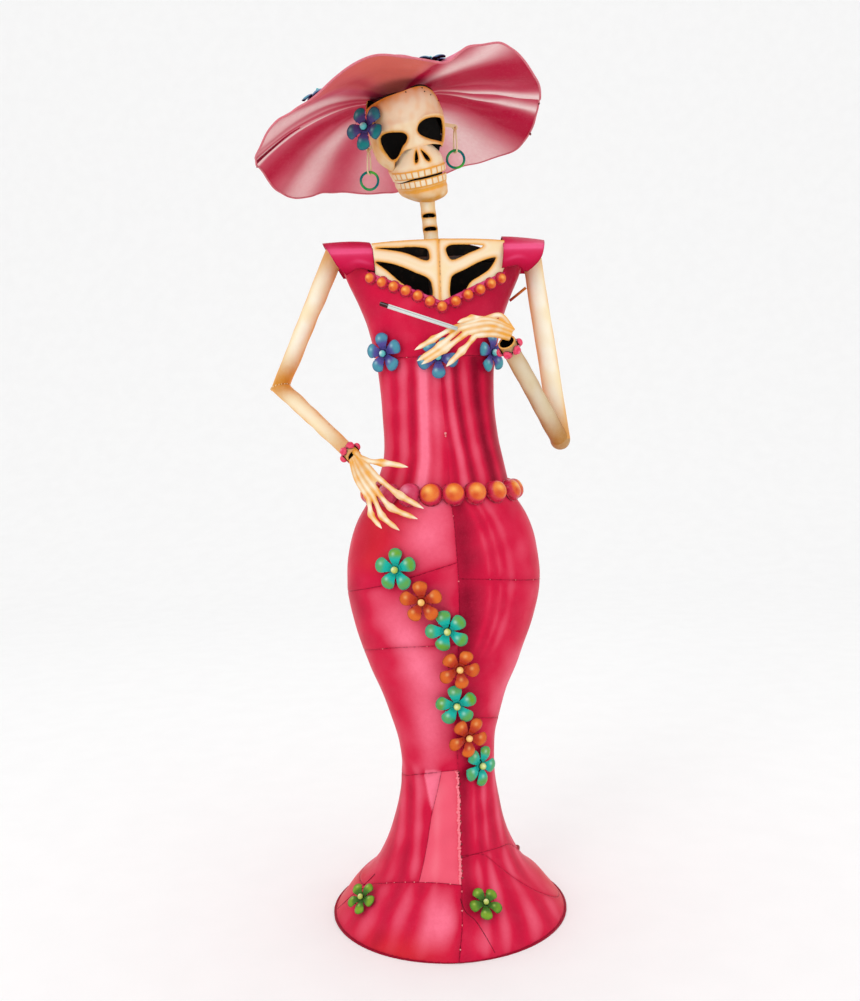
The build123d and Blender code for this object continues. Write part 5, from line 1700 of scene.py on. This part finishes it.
def muzzle_local(u, z, d=None):
    """Upper jaw: u is the turn from the front times MOUTH_TURN, z the height."""
    t = np.radians(u / MOUTH_TURN)
    out = 0.9 * tooth_bumps(t, z, *UPPER_TEETH) + 0.45 * bump(z, -34, 2.2)
    out = out - (0 if d is None else 1.6 * np.exp(-d / 1.3))
    return mouth_shell(t, z, M_RIGHT, M_LEFT, M_DEPTH, out)


def jaw_local(u, z, d=None):
    """Lower jaw, in the same way."""
    t = np.radians(u / MOUTH_TURN)
    out = 0.9 * tooth_bumps(t, z, *LOWER_TEETH) + 1.2 * bump(z, -63, 5) * bump(t, 0.1, 0.6)
    out = out - 0.8 * bump(z, -56, 2.4)
    return mouth_shell(t, z, J_RIGHT, J_LEFT, J_DEPTH, out, 4.0 * step(z, -62, -73))


def tooth_bumps(t, z, at, half):
    """Pillow shaped teeth, at is the row's middle height and half is half a tooth's height."""
    phase = (np.degrees(t) / TOOTH_PITCH) % 1.0
    across = np.clip(1 - np.abs(2 * phase - 1) ** 5, 0, 1)
    up = np.clip(1 - np.abs((z - at) / half) ** 5, 0, 1)
    return across * up * (np.abs(np.degrees(t)) < 84)


def tooth_lines(t, z, at, half):
    """Painted lines between the teeth and along the row's edges."""
    phase = (np.degrees(t) / TOOTH_PITCH) % 1.0
    line = np.maximum(bump(phase, 0, 0.10), bump(phase, 1, 0.10)) * (np.abs(z - at) < half + 0.4)
    return 1.25 * (
        line + bump(z, at + half, 0.8) * 0.8 + bump(z, at - half, 0.8) * 0.8
    ) * (np.abs(np.degrees(t)) < 86)


def mouth_line(t):
    """Height of the upper teeth's lower edge."""
    deg = np.degrees(t)
    return -42.2 - 3.2 * step(-deg, 20, 75) - 0.3 * step(deg, 20, 80)


def bone_paint(P, U, d, ochre_at, extra=0.0):
    """Bone white with ochre towards the sides and round the openings."""
    t = np.clip(np.abs(U) / 60, 0, 1)
    ochre = np.clip(ochre_at + 0.5 * step(t, 0.6, 1.2) + 0.10 * wobble(P, 16, 41), 0, 1)
    halo = 0.95 * np.exp(-d / 1.5) + 0.5 * np.exp(-d / 4.0)
    light = 0.45 * (1 - t)
    return masks(
        U.shape, light, np.clip(ochre + halo, 0, 1), 0.6 * np.exp(-((d / 0.45) ** 2)),
        np.clip(extra + 0.35 * np.exp(-d / 0.9), 0, 1),
    )


def build_skull():
    """Face plate, muzzle, lower jaw and back of the skull, each its own sheet."""
    # face plate, from the forehead's cut edge down to the cheeks
    u = np.linspace(-73, 73, 250)[:, None]
    deg = u / FACE_TURN
    top = FACE_TOP(deg)
    low = track(
        [
            (-98, -16), (-86, -27), (-72, -31.5), (-55, -28), (-40, -20), (-24, -12), (0, -11), (22, -11),
            (40, -13.5), (60, -16.5), (80, -19), (98, -17),
        ]
    )(deg)
    v = np.linspace(0, 1, 180)[None, :]
    U, Z = u + 0 * v, low + (top - low) * v
    holes = []
    for outline in (LEFT_EYE, RIGHT_EYE):
        xz = loop(outline, 150)
        holes.append(np.stack([face_u(xz[:, 0], xz[:, 1]), xz[:, 1]], -1))

    def paint_face(P, U, Z, d):
        edge = np.minimum(top - Z, Z - low)
        # brown along the top edge, and the ochre fading down from it, are painted shadow of the hat brim
        corner = 0.3 + 0.9 * step(-U / FACE_TURN, 8, 42) + 0.5 * step(U / FACE_TURN, 28, 48)
        brown = corner * np.exp(-((top - Z) / 6.5)) + 0.3 * bump(U / FACE_TURN, -66, 14) * step(Z, 18, 34)
        ochre = (
            0.55 * np.exp(-edge / 1.8) + 0.22 * bump(U / FACE_TURN, -70, 16)
            + 0.35 * np.exp(-(top - Z) / 11)
        )
        return bone_paint(P, U, d, ochre, brown)

    shape = pierced(face_local, U, Z, holes, SHEET, paint_face, -facing(face_local(U, Z), Y_AXIS))
    add_to_head("skull_face_plate", shape, ["skull_face"])

    # muzzle, with the nose slots and the upper teeth
    u = np.linspace(-49, 38.2, 300)[:, None]
    t = np.radians(u / MOUTH_TURN)
    deg = np.degrees(t)
    high = track(
        [
            (-100, -31), (-80, -27.5), (-66, -15.8), (-41, -8.4), (-20, -6.2), (0, -5.5), (30, -6.5),
            (54, -7.6), (80, -9.5), (100, -14),
        ]
    )(deg)
    low_m = mouth_line(t)
    v = np.linspace(0, 1, 130)[None, :]
    U, Z = u + 0 * v, low_m + (high - low_m) * v
    holes = []
    for outline in NOSE:
        xz = loop(outline, 60)
        w = np.where(xz[:, 0] < 0, M_RIGHT(xz[:, 1]), M_LEFT(xz[:, 1]))
        holes.append(np.stack([np.degrees(np.arcsin(xz[:, 0] / w)) * MOUTH_TURN, xz[:, 1]], -1))
    border = step(-deg, 26, 44) + 0.6 * step(deg, 50, 66)

    def paint_muzzle(P, U, Z, d):
        lines = tooth_lines(np.radians(U / MOUTH_TURN), Z, *UPPER_TEETH)
        rim = np.exp(-((high - Z) / 0.8)) * border
        gum = 0.35 * bump(Z, -33.5, 2.5)
        fx = bone_paint(
            P, U * 1.2, d,
            0.95 * lines + gum + 0.7 * rim + 0.4 * np.exp(-(high - Z) / 3) * border, 0.45 * lines,
        )
        fx[..., 2] = np.maximum(fx[..., 2], rim)
        return fx

    shape = pierced(muzzle_local, U, Z, holes, SHEET, paint_muzzle, -facing(muzzle_local(U, Z), Y_AXIS))
    add_to_head("skull_muzzle", shape, ["upper_jaw", "teeth_upper", "cheekbones"])

    # lower jaw with its teeth and chin
    gap = 2.5 - 1.4 * step(-deg, 10, 70)
    start = low_m - gap
    v = np.concatenate([np.linspace(0, 0.86, 110), np.linspace(0.87, 1.0, 26)])[None, :]
    U, Z = u + 0 * v, start + (-74 - start) * v

    def paint_jaw(P, U, Z, d):
        lines = tooth_lines(np.radians(U / MOUTH_TURN), Z, *LOWER_TEETH)
        chin = 0.75 * bump(Z, -56, 2.2) + 0.8 * step(-Z, 64, 73) + 0.6 * step(-Z, 50, 58)
        return bone_paint(P, U * 1.2, d + 50, 0.95 * lines + chin, 0.4 * lines + 0.3 * step(-Z, 69, 74))

    shape = pierced(jaw_local, U, Z, [], SHEET, paint_jaw, -facing(jaw_local(U, Z), Y_AXIS))
    add_to_head("skull_jaw", shape, ["lower_jaw", "teeth_lower"])

    # back of the skull
    a = np.radians(np.linspace(97.5, 262.5, 150))[:, None]
    z = np.linspace(-32.5, 46, 110)[None, :]
    k = np.sqrt(np.clip(1 - ((z - 18) / 52) ** 2, 0.001, 1))
    P = np.stack([43.4 * k * np.sin(a), 5 - 50.4 * k * np.cos(a), z + 0 * a], -1)
    P = P + 0.5 * wobble(P, 45, 17)[..., None] * np.stack([np.sin(a), -np.cos(a), 0 * a], -1)
    edge = np.minimum(np.minimum(a - a[0], a[-1] - a) * 43, z + 32.5)
    fx = masks(
        P.shape[:2], 0.25 + 0.2 * wobble(P, 30, 3),
        np.clip(0.9 * np.exp(-edge / 4) + 0.5 * bump(z, 46, 12), 0, 1), np.exp(-(edge / 0.7) ** 2),
        0.3 * np.exp(-edge / 2),
    )
    shape = sheet(P, SHEET, fx, side=facing(P, Y_AXIS))
    add_to_head("skull_back_plate", shape, ["skull_back"])

    # rivets along the forehead's edge and the seam beside the ear
    parts = []
    for deg, down in ((-2, 2.0), (30, 2.2), (31, 6.0), (42, 8.0), (66, 3.0)):
        zt = float(FACE_TOP(deg)) - down
        p = face_local(np.array([deg * FACE_TURN]), np.array([zt]))[0]
        parts.append(blob(in_head(p), 0.8, seed=int(deg) + 5))
    add("skull_rivets", join(parts), "primer")


# ------------------------------------------------------------------ earrings
# side, the eyelet's middle, and which way is outward
EARS = [("right", (-66.5, -10.0, 881.0), -1), ("left", (32.0, 0.0, 905.0), 1)]
LINK_DROP, HOOP_R, LINK_WIRE, HOOP_WIRE = 25.8, 9.8, 0.95, 1.42


def build_earrings():
    """Each link is an oval of bent wire in its eyelet, and each hoop hangs on the link's lower bend."""
    for name, at, side in EARS:
        at = np.array(at)
        turn = math.radians(30 * side)
        along = np.array([-math.sin(turn), math.cos(turn), 0])
        s = np.linspace(0, 2 * math.pi, 97)
        # an oval of wire: two strands, round bends at both ends
        x = (3.0 - 1.4 * np.cos(s)) * np.sign(np.sin(s)) * np.abs(np.sin(s)) ** 0.55
        z = -14.2 + 14.2 * np.sign(np.cos(s)) * np.abs(np.cos(s)) ** 0.9
        path = at + np.outer(x, along) + np.outer(z, [0, 0, 1.0])
        path[:, 2] += 0.12 * np.sin(s * 5)
        fx = [(0.4 * abs(math.sin(k)), 0.6 * bump(math.cos(k), 1, 0.4), 0, 0) for k in s]
        add(
            f"link_wire_{name}", tube(path, LINK_WIRE, 12, fx=fx), "link", body=f"link_{name}",
            cad=[f"earring_link_{name}"],
        )
        centre = at - np.array([0, 0, LINK_DROP + HOOP_R])
        q = np.linspace(0, 2 * math.pi, 121)
        r = HOOP_R + 0.12 * np.sin(3 * q + side)
        path = centre + np.stack([r * np.sin(q), 0.15 * np.sin(2 * q), r * np.cos(q)], -1)
        green = [(0.5 * (1 + math.sin(3 * k)), 0.5 * (1 - math.cos(2 * k + side)), 0, 0) for k in q]
        add(
            f"hoop_{name}", tube(path, HOOP_WIRE, 16, fx=green), "ring", body=f"ring_{name}",
            cad=[f"earring_ring_{name}"],
        )


def build_head_core():
    """Dark sheets inside the skull and behind the mouth as painted shade, and dark tubes as painted shadow
    between the forehead and the hat.
    """
    # a dark sheet behind the eyes: painted shade of the hollow skull
    r = spread(16, 0.05)[None, :] * 0.985 + 0.01
    a = np.linspace(0, 2 * math.pi, 100, endpoint=False)[:, None]
    z = -12 + np.where(np.sin(a) > 0, 49, 46) * np.sin(a)
    w = np.where(
        z > 18,
        43 * np.sqrt(np.clip(1 - ((z - 18) / 52) ** 2, 0, 1)),
        43 - np.where(np.cos(a) < 0, 20, 12) * step(-z, 0, 46),
    )
    x = (w - 5.0) * np.sign(np.cos(a)) * np.abs(np.cos(a)) ** 0.55
    P = np.stack([x * r, 4.0 + 0 * x * r + 3 * (1 - r**2), -14 + (z + 14) * r], -1)
    P[..., 2] = np.minimum(P[..., 2], 40 - 0.12 * P[..., 0])
    shape = sheet(P, SHEET, wrap=True, side=1)
    add_to_head("skull_shadow_sheet", shape, mat="primer")
    # a dark sheet behind the mouth's gap: painted shade
    u = np.linspace(-40, 40, 90)[:, None]
    P = muzzle_local(u, np.linspace(-52, -35, 14)[None, :] + 0 * u) * np.array([0.88, 0.93, 1.0])
    shape = sheet(P, 0.8, side=1)
    add_to_head("mouth_shadow_sheet", shape, mat="primer")
    # dark tubes along the forehead's top edge: painted shadow under the hat
    parts = []
    for t0, t1, r in ((-64, -18, 0.95), (9, 52, 1.05)):
        deg = np.linspace(t0, t1, 50)
        z = FACE_TOP(deg)
        p = face_local(deg * FACE_TURN, z) + np.array([0, 1.2, 0.8])
        parts.append(tube(in_head(p), r * (0.35 + 0.65 * np.sin(np.linspace(0.2, math.pi - 0.2, 50))), 10))
    add("forehead_gap_shadow", join(parts), "primer")


def paint_carried():
    """Materials of the CAD nodes that stay as they are."""
    for node, mat in (
        ("base_plate", "base"), ("hem_hoop", "steel"), ("spine_rod", "steel"), ("shoulder_bar", "steel"),
        ("ear_eyelets", "link"),
    ):
        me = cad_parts[node].data
        me.materials.clear()
        me.materials.append(M[mat])


build_dress()
build_bodice()
build_welds()
build_strips()
build_domes()
build_ribs()
build_sleeves()
build_neck()
build_hat()
build_flowers()
build_arms()
build_hands()
build_cigarette()
build_bracelets()
build_skull()
build_head_core()
build_earrings()
paint_carried()


# ------------------------------------------------------------------ stage
WALL = (0.965, 0.965, 0.965, 1)


def studio():
    """Floor, light and camera."""
    # a pale paper sweep: flat under the figure, curving up far behind it
    y = np.concatenate(
        [np.linspace(-6, 2.2, 30), 2.2 + 2.0 * np.sin(np.linspace(0.05, 1.52, 40)), np.full(10, 4.2)]
    )
    z = np.concatenate(
        [np.zeros(30), 2.0 - 2.0 * np.cos(np.linspace(0.05, 1.52, 40)), np.linspace(2.1, 5, 10)]
    )
    x = np.linspace(-6, 6, 20)[:, None]
    P = np.stack([x + 0 * y, y + 0 * x, z + 0 * x], -1)
    me = bpy.data.meshes.new("floor")
    me.from_pydata(P.reshape(-1, 3).tolist(), [], quads(20, len(y)).tolist())
    me.polygons.foreach_set("use_smooth", [True] * len(me.polygons))
    floor = bpy.data.objects.new("floor", me)
    COL.objects.link(floor)
    g = Graph("floor_paper")
    c = g.mix(g.ramp(g.noise(60, 3, 0.5), 0.3, 0.7), (0.95, 0.95, 0.95, 1), WALL)
    me.materials.append(g.finish(c, 0.8, spec=0.1))
    world = bpy.data.worlds.new("studio")
    bpy.context.scene.world = world
    world.use_nodes = True
    world.node_tree.nodes["Background"].inputs["Color"].default_value = WALL
    world.node_tree.nodes["Background"].inputs["Strength"].default_value = 1.0

    def lamp(name, at, to, size, power):
        data = bpy.data.lights.new(name, "AREA")
        data.shape = "DISK"
        data.size = size
        data.energy = power
        ob = bpy.data.objects.new(name, data)
        ob.location = at
        ob.rotation_euler = (Vector(to) - Vector(at)).to_track_quat("-Z", "Y").to_euler()
        COL.objects.link(ob)

    lamp("key", (-1.3, -1.9, 1.9), (0, 0, 0.55), 0.9, 7)
    lamp("fill", (1.9, -1.6, 1.0), (0, 0, 0.5), 1.6, 3)
    lamp("top", (0.1, 0.6, 2.4), (0, 0, 0.5), 1.5, 3)

    cam = bpy.data.cameras.new("camera")
    cam.lens = 35.96
    cam.sensor_width = 36
    cam.clip_start = 0.05
    ob = bpy.data.objects.new("camera", cam)
    look = Matrix.Rotation(math.radians(90 - 3.06), 4, "X") @ Matrix.Rotation(math.radians(-1.75), 4, "Z")
    ob.matrix_world = Matrix.Translation((-0.0092, -1.16, 0.5425)) @ look
    COL.objects.link(ob)
    bpy.context.scene.camera = ob
    scene = bpy.context.scene
    scene.view_settings.view_transform = "Standard"


studio()
